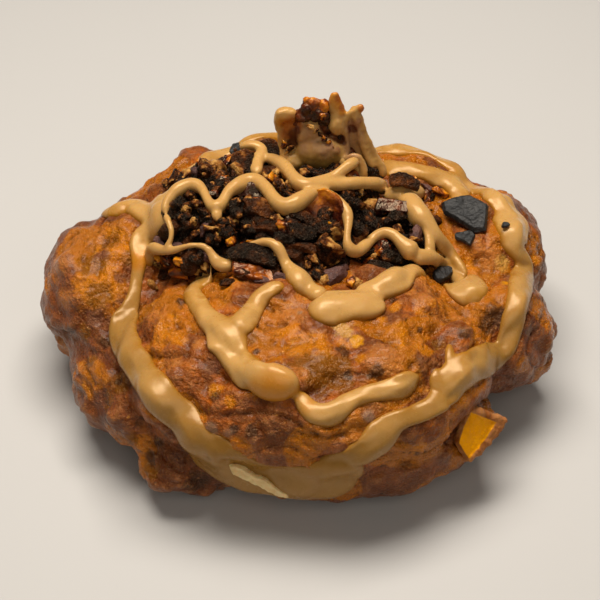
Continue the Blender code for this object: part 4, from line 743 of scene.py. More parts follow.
# Chips: squareness, flat breaks, grain and its size, and tone. Lumps: cell size and tone.
CHIP_SHAPES = {
    "black": (0.8, 5, 0.22, 0.42, (0.0, 0.3)),
    "brown": (0.75, 6, 0.22, 0.36, (0.25, 0.65)),
    "tan": (0.9, 4, 0.30, 0.5, (0.75, 1.0)),
    "red": (0.8, 5, 0.07, 0.6, (0.0, 1.0)),
    "orange": (0.85, 3, 0.08, 0.6, (0.0, 1.0)),
    "purple": (0.75, 6, 0.14, 0.4, (0.0, 1.0)),
}
LUMPS = {
    "black": (0.5, 0.0),
    "brown": (0.46, 0.40),
    "tan": (0.55, 0.90),
    "red": (0.6, 0.20),
    "orange": (0.6, 0.70),
    "purple": (0.5, 0.5),
}
LUMP_SHAPES = 3
LUMP_BREAKS = 5
LUMP_SQUARENESS = 0.8
LUMP_BULGE = 0.28
CHIP_BULGE = 0.16
BREAK_REACH = (0.5, 0.85)
BREAK_SHARE = 0.92
# Subdivisions, share of the faces kept and first seed, for the bits that show and for the others.
SHOWN_SHAPES = (4, 0.5, 100)
PLAIN_SHAPES = (3, 1.0, 300)
CHIP_SUBDIVISIONS = 3
SEEDS_A_KIND = 10
LUMP_SEED = 5
# How the bits lie: their tilt, their clearing from the drizzle, and what counts as flat.
BIT_SEED = 5
BIT_UPRIGHT = 0.6
BIT_TIP = (-0.3, 0.3)
BIT_TIP_WAY = (-0.25, 0.25)
BIT_CLEARING = 0.75
FLAT_BIT = 0.55
LOOSE_TIP = (-0.7, 0.7)
LOOSE_TIP_WAY = (-0.5, 0.5)
CLEARING_STEP = 1.0 * MM
# Bits spread over the heap between those, then loose grains: how many, their sizes and their places.
SCATTERED_BITS = 95
SCATTER_WIDTHS = (0.6, 0.9)
SCATTER_HEIGHTS = (0.5, 0.8)
SCATTER_LIFT = 0.3
SCATTER_HALF = (1.5, 3.9)
GRAINS = 240
GRAIN_HALF = (0.3, 0.8)
GRAIN_WIDTH = 0.8
GRAIN_HEIGHT = 0.7
GRAIN_SPREAD = 1.12
GRAIN_LIFT = (0.3, 2.4)
GRAIN_SEED = 500
GRAIN_SHAPES = 4
GRAIN_SHAPE = (2, 0.85, 3, 0.2, 0.6, (0.0, 1.0))
GRAIN_FACES_KEPT = 0.5
HEAP_REACH = (37, 25)
HEAP_MIDDLE = (1, 11)
GOLDEN_ANGLE = math.radians(137.508)
SCATTER_KINDS = ("black", "brown", "brown", "red", "black", "brown", "brown", "tan")
GRAIN_TONES = (0.05, 0.1, 0.2, 0.3, 0.45, 0.55, 0.7, 0.85)

# Camera and picture.
CAMERA_ELEVATION = 42.0
CAMERA_DISTANCE = 0.40
CAMERA_TARGET = (0.0, 0.0, 0.024)
CAMERA_LENS = 95.6
CAMERA_CLIP_START = 0.01

# Colours, linear.
TAN_CRUST = (0.42, 0.135, 0.022)
ORANGE_CRUST = (0.46, 0.100, 0.002)
# BROWN_CRUST is also the colour of the brown patches of painted shade.
BROWN_CRUST = (0.095, 0.017, 0.002)
# DEEP_BROWN is also the painted shade in hollows, folds and pits.
DEEP_BROWN = (0.055, 0.010, 0.002)
DARK_CRUST = (0.030, 0.006, 0.002)
# PURPLE_CRUST also carries the painted shade low down and down the left side.
PURPLE_CRUST = (0.140, 0.045, 0.022)
SUGAR_FILM = (0.40, 0.165, 0.060)
MILKY_FILM = (0.24, 0.135, 0.085)
AMBER = (0.50, 0.155, 0.001)
DEEP_AMBER = (0.17, 0.052, 0.001)
YELLOW_APPLE = (0.60, 0.24, 0.001)
PALE_APPLE = (0.50, 0.25, 0.045)
CREAM = (0.46, 0.250, 0.074)
OCHRE = (0.33, 0.135, 0.008)
WARM_GLOSS = (1.0, 0.78, 0.52, 1.0)
CRUST_GLOSS = (1.0, 0.68, 0.34, 1.0)
SYRUP_GLOSS = (1.0, 0.74, 0.50, 1.0)
APPLE_GLOSS = (1.0, 0.7, 0.3, 1.0)
PALE_CREAM = (0.56, 0.325, 0.102)
PURPLE_BACON = (0.15, 0.060, 0.042)
PURPLE_BACON_DARK = (0.050, 0.016, 0.012)
CHAR = (0.009, 0.009, 0.009)
GREY_CHAR = (0.021, 0.020, 0.019)
CHAR_UNDERSIDE = (0.075, 0.014, 0.010)
GREY_SUGAR = (0.14, 0.13, 0.12)
APPLE_FLESH = (0.84, 0.34, 0.001)
DEEP_APPLE_FLESH = (0.62, 0.22, 0.001)
APPLE_RIND = (0.24, 0.070, 0.014)
PALE_APPLE_RIND = (0.44, 0.19, 0.065)
FLAKE_TAN = (0.62, 0.39, 0.13)
FLAKE_CREAM = (0.78, 0.60, 0.29)
FLOOR_GREY = (0.47, 0.46, 0.445)
FLOOR_PALE = (0.50, 0.49, 0.475)
# The painted masks where the crust is wet.
WET_MASKS = ("torn", "amber", "deep_amber", "hollow")
# What is laid over the crust's mottle, in order: painted mask, how many breaks to a metre its edge has,
# how ragged and how hard that edge is, how much it covers, and its colour.
CRUST_LAYERS = [
    ("streak", 350.0, 0.7, 2.2, 0.60, BROWN_CRUST),
    # Purple film low down, darker towards the table as painted shade, and painted shade down the left side.
    ("low", 180.0, 1.2, 1.6, 0.50, PURPLE_CRUST),
    # Painted shade, in brown patches.
    ("brown", 150.0, 1.4, 1.6, 0.80, BROWN_CRUST),
    ("torn", 300.0, 1.2, 2.0, 0.55, AMBER),
    ("amber", 450.0, 1.6, 1.7, 0.85, AMBER),
    ("deep_amber", 450.0, 1.4, 2.0, 0.85, DEEP_AMBER),
    ("purple", 380.0, 1.5, 1.8, 0.85, PURPLE_CRUST),
    ("tan", 380.0, 1.4, 1.6, 0.80, TAN_CRUST),
    ("fibre", 700.0, 0.9, 2.0, 0.50, TAN_CRUST),
    # Painted shade in the hollows, folds and pits.
    ("hollow", 600.0, 0.7, 1.6, 0.60, DEEP_BROWN),
    ("fold", 600.0, 0.9, 1.4, 0.65, DEEP_BROWN),
    ("pit", 700.0, 0.9, 1.6, 0.20, DEEP_BROWN),
    ("dark", 420.0, 1.6, 1.8, 0.85, DARK_CRUST),
    ("film", 420.0, 1.4, 1.6, 0.80, MILKY_FILM),
    ("pale", 500.0, 1.8, 2.0, 0.8, PALE_APPLE),
    ("yellow", 500.0, 1.6, 2.2, 0.9, YELLOW_APPLE),
]
# The same for the drizzle.
DRIZZLE_LAYERS = [
    # Painted shade on the lower drizzle.
    ("low", 160.0, 0.5, 1.2, 0.85, (0.255, 0.122, 0.022)),
    ("meat", 420.0, 1.0, 1.6, 0.8, (0.26, 0.105, 0.055)),
    ("caramel", 300.0, 0.4, 1.4, 0.85, (0.48, 0.175, 0.010)),
    # Dark syrup on the crown's lower face, partly painted shade.
    ("syrup", 200.0, 0.5, 1.1, 0.85, (0.19, 0.098, 0.017)),
    ("blush", 220.0, 0.5, 1.0, 0.7, (0.30, 0.155, 0.082)),
    ("web", 340.0, 0.8, 1.6, 0.9, (0.34, 0.085, 0.008)),
    ("stain", 400.0, 0.9, 2.0, 0.9, (0.075, 0.012, 0.005)),
]
# Smaller dark chips that lie on the dough: outline, thickness, plan position and rise, in mm.
SMALL_CHIPS = {
    "black_oval": ([
        (-3.2, 1.2), (-1.2, 2.4), (1.2, 1.7), (3, -0.4), (3.1, -1.7), (1.2, -2.3), (-1.2, -1.6),
        (-3.2, -0.2),
    ], 2.4, (34.5, -1.6), 1.6),
    "small_grey_chip": ([
        (-2.6, -2.2), (-2.4, 1.8), (-0.6, 2.6), (1.2, 1.6), (3, 0.6), (0.6, -1), (-1, -2.6),
    ], 1.4, (41.4, 5.5), 1.4),
    "dark_speck": ([(-1.3, 0.9), (0.4, 1), (1.2, 0), (0.8, -1), (-0.6, -0.6)], 1, (50.4, 8.1), 2.3),
    "back_chip": ([
        (-3.4, -1), (-2.6, 1.6), (0.4, 2.6), (3.4, 1.2), (2.6, -1.6), (-0.6, -2.4),
    ], 1.2, (-15.8, 37), 0.8),
}
# Candied bacon from burnt to pale: where on the scale, and the colour.
BACON_TONES = [
    (0.0, (0.004, 0.0025, 0.002)),
    (0.25, (0.014, 0.004, 0.0015)),
    (0.5, (0.062, 0.015, 0.003)),
    (0.68, (0.17, 0.050, 0.009)),
    (0.82, (0.36, 0.145, 0.028)),
    (1.0, (0.62, 0.33, 0.085)),
]
# The same for folds that are wet and clear: dark red to orange.
GLAZED_TONES = [
    (0.0, (0.010, 0.003, 0.002)),
    (0.25, (0.045, 0.007, 0.004)),
    (0.5, (0.14, 0.026, 0.004)),
    (0.75, (0.34, 0.085, 0.005)),
    (1.0, (0.60, 0.22, 0.008)),
]
# The floor, the light of the room, and the lights: place and width in metres, and power.
FLOOR_SIZE = 6.0
ROOM_LIGHT = 0.06
ROOM_COLOUR = (1.0, 0.97, 0.93, 1.0)
LIGHT_COLOUR = (1.0, 0.93, 0.84)
SOFT_LIGHTS = {
    "key": ((-0.03, 0.10, 0.55), (0.42, 0.24), 4.9),
    "fill": ((0.06, -0.42, 0.38), (0.50, 0.40), 0.8),
}


def smooth(value):
    """0 below 0, 1 above 1 and an easy curve between them."""
    value = min(1.0, max(0.0, value))
    return value * value * (3 - 2 * value)


def select_only(*objects):
    """Selects these alone, with the first of them active."""
    bpy.ops.object.select_all(action="DESELECT")
    for obj in objects:
        obj.select_set(True)
    bpy.context.view_layer.objects.active = objects[0]


def apply_modifiers(obj):
    select_only(obj)
    for modifier in list(obj.modifiers):
        bpy.ops.object.modifier_apply(modifier=modifier.name)


def join(objects, name):
    """All of these as one object."""
    select_only(*objects)
    bpy.ops.object.join()
    joined = bpy.context.object
    joined.name = name
    return joined


def add_ball(name, subdivisions, **placing):
    """A ball 1 across its half."""
    bpy.ops.object.select_all(action="DESELECT")
    bpy.ops.mesh.primitive_ico_sphere_add(subdivisions=subdivisions, radius=1.0, **placing)
    ball = bpy.context.object
    ball.name = name
    return ball


def add_lobe(name, centre, half, yaw, subdivisions):
    """A ball drawn out to these half sizes, with its place in its mesh."""
    turn = (0, 0, math.radians(yaw))
    lobe = add_ball(name, subdivisions, location=Vector(centre) * MM, rotation=turn)
    lobe.scale = Vector(half) * MM
    bpy.ops.object.transform_apply(location=True, rotation=True, scale=True)
    return lobe


def copied(obj, name):
    """A copy with its own mesh."""
    other = obj.copy()
    other.data = obj.data.copy()
    other.name = name
    bpy.context.scene.collection.objects.link(other)
    return other


def fuse(obj, voxel, rounds):
    """Makes one skin of all that the object holds, and softens its creases."""
    remesh = obj.modifiers.new("fuse", "REMESH")
    remesh.mode = "VOXEL"
    remesh.voxel_size = voxel
    creases = obj.modifiers.new("soft creases", "SMOOTH")
    creases.factor = CREASE_SHARE
    creases.iterations = rounds
    apply_modifiers(obj)


def thin_out(obj, share):
    """Keeps this share of the faces."""
    fewer = obj.modifiers.new("fewer faces", "DECIMATE")
    fewer.ratio = share
    apply_modifiers(obj)


def surface_of(obj):
    return BVHTree.FromObject(obj, bpy.context.evaluated_depsgraph_get())


def drop(surface, x, y):
    """Where a plumb line at this plan position, in mm, first meets the surface, and the normal there."""
    point, normal, _, _ = surface.ray_cast(Vector((x * MM, y * MM, SKY)), Vector((0, 0, -1)))
    return point, normal


def up_along(normal):
    """The turn that points a thing's top along this normal."""
    return normal.to_track_quat("Z", "Y").to_matrix().to_4x4()


def object_of(mesh, name):
    """An object of this mesh, with its faces turned outwards."""
    bmesh.ops.recalc_face_normals(mesh, faces=mesh.faces[:])
    data = bpy.data.meshes.new(name)
    mesh.to_mesh(data)
    mesh.free()
    obj = bpy.data.objects.new(name, data)
    bpy.context.scene.collection.objects.link(obj)
    return obj


def stacked(name, levels):
    """A closed body through these outlines, one above the other."""
    mesh = bmesh.new()
    rings = [[mesh.verts.new(point) for point in level] for level in levels]
    for a, b in zip(rings, rings[1:]):
        for k in range(len(a)):
            mesh.faces.new((a[k - 1], a[k], b[k], b[k - 1]))
    mesh.faces.new(rings[0])
    mesh.faces.new(rings[-1])
    return object_of(mesh, name)


def cut_flat_base(obj):
    """Cuts off what lies below the table, and closes the cut."""
    select_only(obj)
    bpy.ops.object.mode_set(mode="EDIT")
    bpy.ops.mesh.select_all(action="SELECT")
    bpy.ops.mesh.bisect(plane_co=(0, 0, 0), plane_no=(0, 0, -1), use_fill=True, clear_outer=True)
    bpy.ops.object.mode_set(mode="OBJECT")


def shade_round(obj):
    select_only(obj)
    bpy.ops.object.shade_smooth()
    return obj


def read(items, label, kind, width):
    """One value of each of these items, as rows of this width."""
    values = np.empty(len(items) * width, kind)
    items.foreach_get(label, values)
    return values.reshape(-1, width)


def points_of(obj):
    return read(obj.data.vertices, "co", np.float32, 3).astype(np.float64)


def normals_of(obj):
    return read(obj.data.vertices, "normal", np.float32, 3).astype(np.float64)


def stand_out(obj, heights):
    """Moves each vertex out along its normal by its own height, in mm, and gives the new points."""
    points = points_of(obj) + normals_of(obj) * np.reshape(heights, (-1, 1)) * MM
    obj.data.vertices.foreach_set("co", points.astype(np.float32).ravel())
    obj.data.update()
    return points


def relaxed(obj, points, rounds):
    """The points after this many rounds of being drawn to the middle of their neighbours."""
    a, b = read(obj.data.edges, "vertices", np.int32, 2).T
    count = np.bincount(a, minlength=len(points)) + np.bincount(b, minlength=len(points))
    count = np.maximum(count, 1)[:, None]
    for _ in range(rounds):
        total = [
            np.bincount(a, points[b, axis], len(points)) + np.bincount(b, points[a, axis], len(points))
            for axis in range(3)
        ]
        points = 0.5 * points + 0.5 * np.stack(total, axis=1) / count
    return points


def paint(obj, name, values):
    """Keeps one number for each vertex under this name, for the finish to read."""
    layer = obj.data.attributes.new(name, "FLOAT", "POINT")
    layer.data.foreach_set("value", np.clip(values, 0, 1).astype(np.float32))


def patch_mask(points, patches):
    """1 in the middle of the patches, falling to 0 at one and a half radii."""
    mask = np.zeros(len(points))
    for x, y, z, radius in patches:
        away = np.linalg.norm(points / MM - (x, y, z), axis=1) / radius
        mask = np.maximum(mask, np.clip(1.5 - away, 0, 1))
    return mask


# The crust.


def ring_noise(p, across, along, shift):
    """Noise drawn out along the ring of dough, like the folds of the pastry, with no seam at the back."""
    angle = math.atan2(p.x, -p.y)
    out = math.hypot(p.x, p.y) / across
    height = p.z / across + shift
    value = noise.noise(Vector((out, angle * RING_RADIUS / along, height)))
    share = 0.5 * smooth((abs(angle) - SEAM_FROM) / (math.pi - SEAM_FROM))
    if share > 0:
        back = angle - math.copysign(math.tau, angle)
        other = noise.noise(Vector((out, back * RING_RADIUS / along, height)))
        value = value * (1 - share) + other * share
    return value


def rounded(value, reach):
    """Long rounded backs with narrow valleys where the noise passes zero, between 0 and 1."""
    return min(1.0, abs(value) / reach) ** 0.7


def crust_relief(p, normal):
    """How far the crust stands out here, in mm, and how folded, torn, pitted, fibrous and streaked
    it is. Each divisor is the size of a feature in mm, and each factor its share of the height."""
    q = p + noise.noise_vector(p / 16) * 6
    side = 1 - max(0.0, normal.z)
    where = noise.noise(p / 18 + Vector((3.1, 7.7, 1.9)))
    backs = ring_noise(q, 9.0, 26.0, 0.0)
    strands = ring_noise(q, 3.8, 13.0, 7.3)
    stranded = smooth(0.25 + 2.4 * where)
    level = (q.z + 7 * noise.noise(p / 20)) / 7.5
    layer = level - math.floor(level)
    shingle = (1 - layer) * smooth(layer / 0.2) * side * smooth(0.2 + 2.0 * where)
    lumps = noise.noise(p / 7.0 + Vector((1.7, 4.1, 2.2))) + 0.55 * noise.noise(p / 3.0)
    blisters = 0.22 * (0.45 - noise.voronoi(q / 2.1)[0][0]) + 0.16 * noise.noise(p / 1.3)
    torn = smooth((noise.noise(p / 12 + Vector((9.2, 1.3, 5.5))) + 0.06) / 0.2)
    fibres = ring_noise(q, 1.7, 6.0, 2.6) + 0.5 * ring_noise(q, 1.0, 3.2, 5.1)
    pit = torn * smooth((0.30 - noise.voronoi(q / 2.6)[0][0]) / 0.25)
    fold = max(0.0, 1 - abs(backs) / 0.055) * (0.25 + 0.75 * side)
    height = 0.75 * (rounded(backs, 0.3) - 0.8) + 0.25 * stranded * (rounded(strands, 0.34) - 0.7)
    height += 1.0 * lumps + blisters + 0.45 * shingle + torn * (0.7 * fibres - 0.25) - 0.15 * pit
    streak = 0.5 + 1.1 * ring_noise(q, 2.4, 12.0, 4.4) + 0.6 * ring_noise(q, 1.2, 5.0, 8.8)
    return height, fold, torn, pit, max(0.0, fibres) * torn * 1.6, streak


def add_knob(name, point, normal, half, yaw, rise):
    """A lump whose crown stands `rise` mm proud of the surface at this point."""
    knob = add_lobe(name, (0, 0, 0), half, 0, KNOB_SUBDIVISIONS)
    turn = up_along(normal) @ Matrix.Rotation(math.radians(yaw), 4, "Z")
    knob.data.transform(Matrix.Translation(point - normal * (half[2] - rise) * MM) @ turn)
    return knob


def rim_knobs(surface):
    """Lumps spread evenly over the sides by the golden angle, with seeded sizes."""
    draw = random.Random(RIM_SEED)
    centre = Vector((0, 0, RIM_CENTRE_HEIGHT)) * MM
    knobs = []
    for count in range(RIM_KNOBS):
        height = 1 - 2 * (count + 0.5) / RIM_KNOBS
        angle = count * GOLDEN_ANGLE
        side = math.sqrt(1 - height * height)
        way = Vector((side * math.cos(angle), side * math.sin(angle), RIM_FLATNESS * height)).normalized()
        point, normal, _, _ = surface.ray_cast(centre + way * RIM_REACH, -way)
        size = draw.uniform(*KNOB_SIZES)
        half = (size, size * draw.uniform(*KNOB_WIDTHS), size * KNOB_HEIGHT)
        yaw = draw.uniform(0, 180)
        if point.z > RIM_LOWEST and side > RIM_LEAST_SIDE:
            knobs.append(add_knob(f"rim_{count}", point, normal, half, yaw, KNOB_RISE))
    return knobs


def fused_lobes(lobes, name):
    """The lobes of a table as one soft body."""
    body = join([add_lobe(label, *sizes, LOBE_SUBDIVISIONS) for label, sizes in lobes.items()], name)
    fuse(body, DOUGH_VOXEL, CREASE_ROUNDS)
    return body


def make_form():
    """The same lump of dough as the solid: lobes fused to a ring, knobs on it, and a soft swell."""
    body = fused_lobes(DOUGH_LOBES, "dough_form")
    surface = surface_of(body)
    knobs = [
        add_knob(name, *drop(surface, *place), half, yaw, rise)
        for name, (place, half, yaw, rise) in DOUGH_KNOBS.items()
    ]
    form = join([body, *knobs, *rim_knobs(surface)], "dough_form")
    fuse(form, DOUGH_VOXEL, CREASE_ROUNDS)
    lumps = bpy.data.textures.new("lumps", "CLOUDS")
    lumps.noise_scale = SWELL_SCALE
    swell = form.modifiers.new("swell", "DISPLACE")
    swell.texture = lumps
    swell.strength = SWELL_DEPTH
    apply_modifiers(form)
    return form


def make_crust(form):
    """The fried crust in full relief, with what its finish reads painted on, and its surface."""
    crust = copied(form, "fried_crust")
    fuse(crust, CRUST_VOXEL, 1)
    skin = zip(points_of(crust), normals_of(crust))
    relief = np.array([crust_relief(Vector(p / MM), Vector(n)) for p, n in skin])
    stand_out(crust, relief[:, 0])
    # The folds and pits painted here get painted shade in the finish.
    for column, name in enumerate(("fold", "torn", "pit", "fibre", "streak"), 1):
        paint(crust, name, relief[:, column])
    cut_flat_base(crust)
    shade_round(crust)
    points = points_of(crust)
    bend = ((points - relaxed(crust, points, CREST_ROUNDS)) * normals_of(crust)).sum(axis=1) / MM
    paint(crust, "crest", bend / CREST_HEIGHT)
    # Painted shade in the hollows.
    paint(crust, "hollow", -bend / HOLLOW_DEPTH)
    # Purple film low down, darker towards the table as painted shade, and painted shade down the left side.
    left = np.clip((-points[:, 0] / MM - SHADE_LEFT_FROM) / SHADE_LEFT_FADE, 0, SHADE_LEFT_MOST)
    paint(crust, "low", np.maximum(LOW_AT_TABLE - points[:, 2] / LOW_FADE, left))
    for name, patches in CRUST_PATCHES.items():
        paint(crust, name, patch_mask(points, patches))
    faces = [tuple(face.vertices) for face in crust.data.polygons]
    return crust, BVHTree.FromPolygons([Vector(p) for p in points], faces)


# The drizzle.


def between(a, b, c, d, t):
    """Point at t between b and c on the smooth curve that also passes a and d."""
    bend = 2 * a - 5 * b + 4 * c - d
    twist = 3 * b - a - 3 * c + d
    return 0.5 * (2 * b + (c - a) * t + bend * t**2 + twist * t**3)


def curve_through(points, steps):
    """The smooth curve through the points, with this many steps from each to the next."""
    knots = [2 * points[0] - points[1], *points, 2 * points[-1] - points[-2]]
    spans = range(1, len(knots) - 2)
    fine = [between(*knots[i - 1 : i + 3], step / steps) for i in spans for step in range(steps)]
    return [*fine, knots[-2]]


def stations(points, spacing):
    """Even steps along the smooth curve through the points, closer at its ends: place and half width in
    metres, and how far each step is from the nearer end."""
    fine = curve_through([Vector(point) * MM for point in points], ROPE_CURVE_STEPS)
    walked = [0.0]
    for a, b in zip(fine, fine[1:]):
        walked.append(walked[-1] + (b.xyz - a.xyz).length)
    length = walked[-1]
    count = max(3, round(length / spacing))
    near_ends = [share * spacing for share in ROPE_END_STEPS]
    far_ends = [length - near for near in near_ends]
    wanted = np.array(sorted(near_ends + far_ends + [length * i / count for i in range(1, count)]))
    columns = [np.interp(wanted, walked, [point[axis] for point in fine]) for axis in range(4)]
    return [(Vector(step[:3]), step[3], min(at, length - at)) for *step, at in zip(*columns, wanted)]


def highest(surfaces, start, way):
    """The first point met from start along way, or None."""
    hits = [surface.ray_cast(start, way) for surface in surfaces]
    hits = [(away, point) for point, _, _, away in hits if point is not None]
    return min(hits, key=lambda hit: hit[0])[1] if hits else None


def land(surfaces, place):
    """The point of the nearer surface closest to this place, and its normal."""
    found = [surface.find_nearest(place) for surface in surfaces]
    return min(found, key=lambda hit: hit[3])[:2]


def soften(values, rounds):
    """Evens out a row of values, whose ends stay."""
    for _ in range(rounds):
        inner = [(a + 2 * b + c) / 4 for a, b, c in zip(values, values[1:], values[2:])]
        values = [values[0], *inner, values[-1]]
    return values


def rope_ring(centre, side, normal, half, taper, depth, surfaces, hanging, shift):
    """One cross-section of a rope: a rounded top with uneven edges, over a foot that sinks in."""
    here = centre / MM
    inward = side.dot(Vector((-centre.x, RING_MIDDLE_Y - centre.y, 0)).normalized())
    downhill = side.dot(Vector((0, 0, -1)))
    ring = []
    for k in range(ROPE_SIDES):
        turn = math.tau * k / ROPE_SIDES
        across, up = math.cos(turn), math.sin(turn)
        apart = EDGE_APART * (across > 0)
        ragged = noise.noise(Vector((shift, here.x / RAGGED_SIZE + apart, here.y / RAGGED_SIZE)))
        wavy = noise.noise(Vector((shift + WAVY_SHIFT, here.x / WAVY_SIZE + apart, here.y / WAVY_SIZE)))
        towards = 1.0 if inward * across > 0 else OUTER_EDGE
        uneven = (RAGGED_SHARE * ragged * towards + WAVY_SHARE * wavy) * abs(across)
        place = centre + side * half * taper * (1 + uneven) * across
        if hanging:
            rise = (depth if up > 0 else HANGING_DEPTH * half) * taper * up
        else:
            met = highest(surfaces, place + normal * LOOK_UP, -normal)
            if met is not None and (met - place).length < LOOK_UP:
                place = met
            rise = ROPE_SINK * up
            if up > 0:
                rise = depth * taper * up**ROPE_ROUNDNESS * (1 + ROPE_SAG * downhill * across)
        ring.append(place + normal * rise)
    return ring


def pour(name, share, points, surfaces, hanging, shift):
    """A rope of drizzle with a rounded top. It lies on the surfaces, or hangs over the bits of the heap."""
    steps = stations(points, ROPE_STEP)
    hits = [land(surfaces, place) for place, _, _ in steps]
    centres = [place if hanging else hit[0] for (place, _, _), hit in zip(steps, hits)]
    centres = soften(centres, ROPE_CENTRE_ROUNDS)
    normals = soften([hit[1] for hit in hits], ROPE_NORMAL_ROUNDS)
    rings = []
    for i, (_, half, to_end) in enumerate(steps):
        ahead = centres[min(i + 1, len(steps) - 1)] - centres[max(i - 1, 0)]
        normal = normals[i].normalized()
        side = ahead.cross(normal).normalized()
        taper = max(ROPE_TIP, math.sqrt(1 - (1 - min(1.0, to_end / half)) ** 2))
        if not hanging:
            half += POUR_SPREAD
        depth = min(DEEPEST_POUR, share * half)
        rings.append(rope_ring(centres[i], side, normal, half, taper, depth, surfaces, hanging, shift))
    lines = [soften(line, HANGING_LINE_ROUNDS if hanging else LYING_LINE_ROUNDS) for line in zip(*rings)]
    mesh = bmesh.new()
    loops = [[mesh.verts.new(point) for point in ring] for ring in zip(*lines)]
    for a, b in zip(loops, loops[1:]):
        for k in range(ROPE_SIDES):
            mesh.faces.new((a[k], a[k - 1], b[k - 1], b[k]))
    for loop in (loops[0], loops[-1]):
        middle = mesh.verts.new(sum((vert.co for vert in loop), Vector()) / ROPE_SIDES)
        for k in range(ROPE_SIDES):
            mesh.faces.new((loop[k], loop[k - 1], middle))
    return object_of(mesh, name)


def settle(obj, rounds, crust_tree):
    """Lets the ropes run together, gives their skin a slight unevenness, and keeps how thick they are."""
    fuse(obj, DRIZZLE_VOXEL, rounds)
    swell = [
        sum(rise * noise.noise(Vector(p) / size) for size, rise in DRIZZLE_WAVES)
        for p in points_of(obj)
    ]
    points = stand_out(obj, swell)
    away = np.array([crust_tree.find_nearest(Vector(p))[3] for p in points]) / MM
    paint(obj, "thick", away / FULL_THICKNESS)
    paint(obj, "caramel", patch_mask(points, CARAMEL_PATCHES))
    # Painted shade: the drizzle is darker lower down.
    paint(obj, "low", (DRIZZLE_SHADE_FROM - points[:, 2] / MM) / DRIZZLE_SHADE_FADE)
    return shade_round(obj)


# The heap of candied bacon.


def lot(place):
    """A number between 0 and 1 that looks drawn by lot, the same each time for the same place."""
    return math.sin(place.x * 12.9898 + place.y * 78.233 + place.z * 37.719) * 43758.5453 % 1.0


def crumbly(q):
    """Bacon crumbs stuck together: how far they stand out here and their tone, for cells 1 across. The tone
    is each crumb's own, with painted light where the crumbs stand out and painted shade in the fine
    crevices.
    """
    q = q + 0.4 * noise.noise_vector(q * 0.8)
    chunk, chunk_places = noise.voronoi(q / 2.4)
    crumb, crumb_places = noise.voronoi(q)
    fine, _ = noise.voronoi(q / 0.36)
    rise = 1.0 * (0.5 - chunk[0]) + 0.6 * (0.5 - crumb[0])
    tone = 1.0 * (lot(chunk_places[0]) ** 1.5 - 0.4) + 0.8 * (lot(crumb_places[0]) ** 3 - 0.25)
    # The tone rises where the crumbs stand out and falls in the fine crevices: painted light and painted
    # shade.
    return rise + 0.22 * (0.5 - fine[0]), tone + 0.6 * min(0.3, rise) + 0.3 * (0.5 - fine[0])


def broken_sides(draw, count):
    """Flat breaks of a ball about 1 across its half: which way each faces and how far out it is."""
    sides = []
    for _ in range(count):
        way = Vector([draw.uniform(-1, 1) for _ in range(3)]).normalized()
        sides.append((way, draw.uniform(*BREAK_REACH)))
    return sides


def broken(point, squareness, sides):
    """This point of a ball after it is squared off and its breaks are cut back."""
    point = Vector([math.copysign(abs(c) ** squareness, c) for c in point])
    for way, reach in sides:
        over = point.dot(way) - reach
        if over > 0:
            point = point - way * over * BREAK_SHARE
    return point


def make_lump(name, seed, subdivisions, faces_kept, cell, tone):
    """A lump of crumbs about 1 across each half, each crumb of its own tone, with painted light on the
    raised crumbs and painted shade between them.
    """
    lump = add_ball(name, subdivisions)
    breaks = broken_sides(random.Random(seed), LUMP_BREAKS)
    tones = []
    for vertex in lump.data.vertices:
        height, shade = crumbly(vertex.co / cell + Vector((seed * 3.7, seed * 1.9, 0)))
        bulge = LUMP_BULGE * noise.noise(vertex.co * 1.1 + Vector((seed, 0, 0)))
        vertex.co = broken(vertex.co, LUMP_SQUARENESS, breaks) * (1.0 + bulge + height * cell)
        # Each crumb's tone, with painted light and painted shade.
        tones.append(tone + shade)
    paint(lump, "tone", np.array(tones))
    thin_out(lump, faces_kept)
    return lump


def make_chip(name, seed, subdivisions, squareness, facets, grain, grain_size, tone):
    """One chip, about 1 across each half: a ball squared off, with flat breaks and a grainy skin."""
    chip = add_ball(name, subdivisions)
    breaks = broken_sides(random.Random(seed), facets)
    tones = []
    for vertex in chip.data.vertices:
        p = broken(vertex.co, squareness, breaks)
        q = p + Vector((seed * 3.7, 0, 0))
        cells, _ = noise.voronoi(q / grain_size)
        vertex.co = p * (1 + (CHIP_BULGE * noise.noise(q * 1.7) + grain * (0.5 - cells[0])))
        tones.append(tone[0] + (tone[1] - tone[0]) * (0.5 + 0.9 * noise.noise(q * 1.3)))
    paint(chip, "tone", np.array(tones))
    return chip


def make_shapes(subdivisions, faces_kept, seed):
    """The shapes of each kind, to be copied: a chip, and lumps of crumbs."""
    shapes = {}
    for row, (kind, chip) in enumerate(CHIP_SHAPES.items()):
        first = seed + SEEDS_A_KIND * row
        shapes[kind] = [make_chip(f"{kind}_chip", first, CHIP_SUBDIVISIONS, *chip)]
        for i in range(LUMP_SHAPES):
            lump_seed = first + LUMP_SEED + i
            lump = make_lump(f"{kind}_lump_{i}", lump_seed, subdivisions, faces_kept, *LUMPS[kind])
            shapes[kind].append(lump)
    return shapes


def lay(bit, name, place, half, turn):
    """A copy of the bit with these half sizes, in mm, turned and put in its place."""
    laid = copied(bit, name)
    shape = Matrix.Diagonal((*[size * MM for size in half], 1.0))
    laid.data.transform(Matrix.Translation(place) @ turn @ shape)
    return laid


def leaning(normal, yaw, tip, tip_way=0.0):
    """A turn that lays a bit on a surface with this normal."""
    lean = up_along((normal + Vector((0, 0, BIT_UPRIGHT))).normalized())
    spin = Matrix.Rotation(yaw, 4, "Z") @ Matrix.Rotation(tip, 4, "X") @ Matrix.Rotation(tip_way, 4, "Y")
    return lean @ spin


def nearest_tree(places):
    """A tree that finds the nearest of these places by its number in the row."""
    tree = KDTree(len(places))
    for count, place in enumerate(places):
        tree.insert(place, count)
    tree.balance()
    return tree


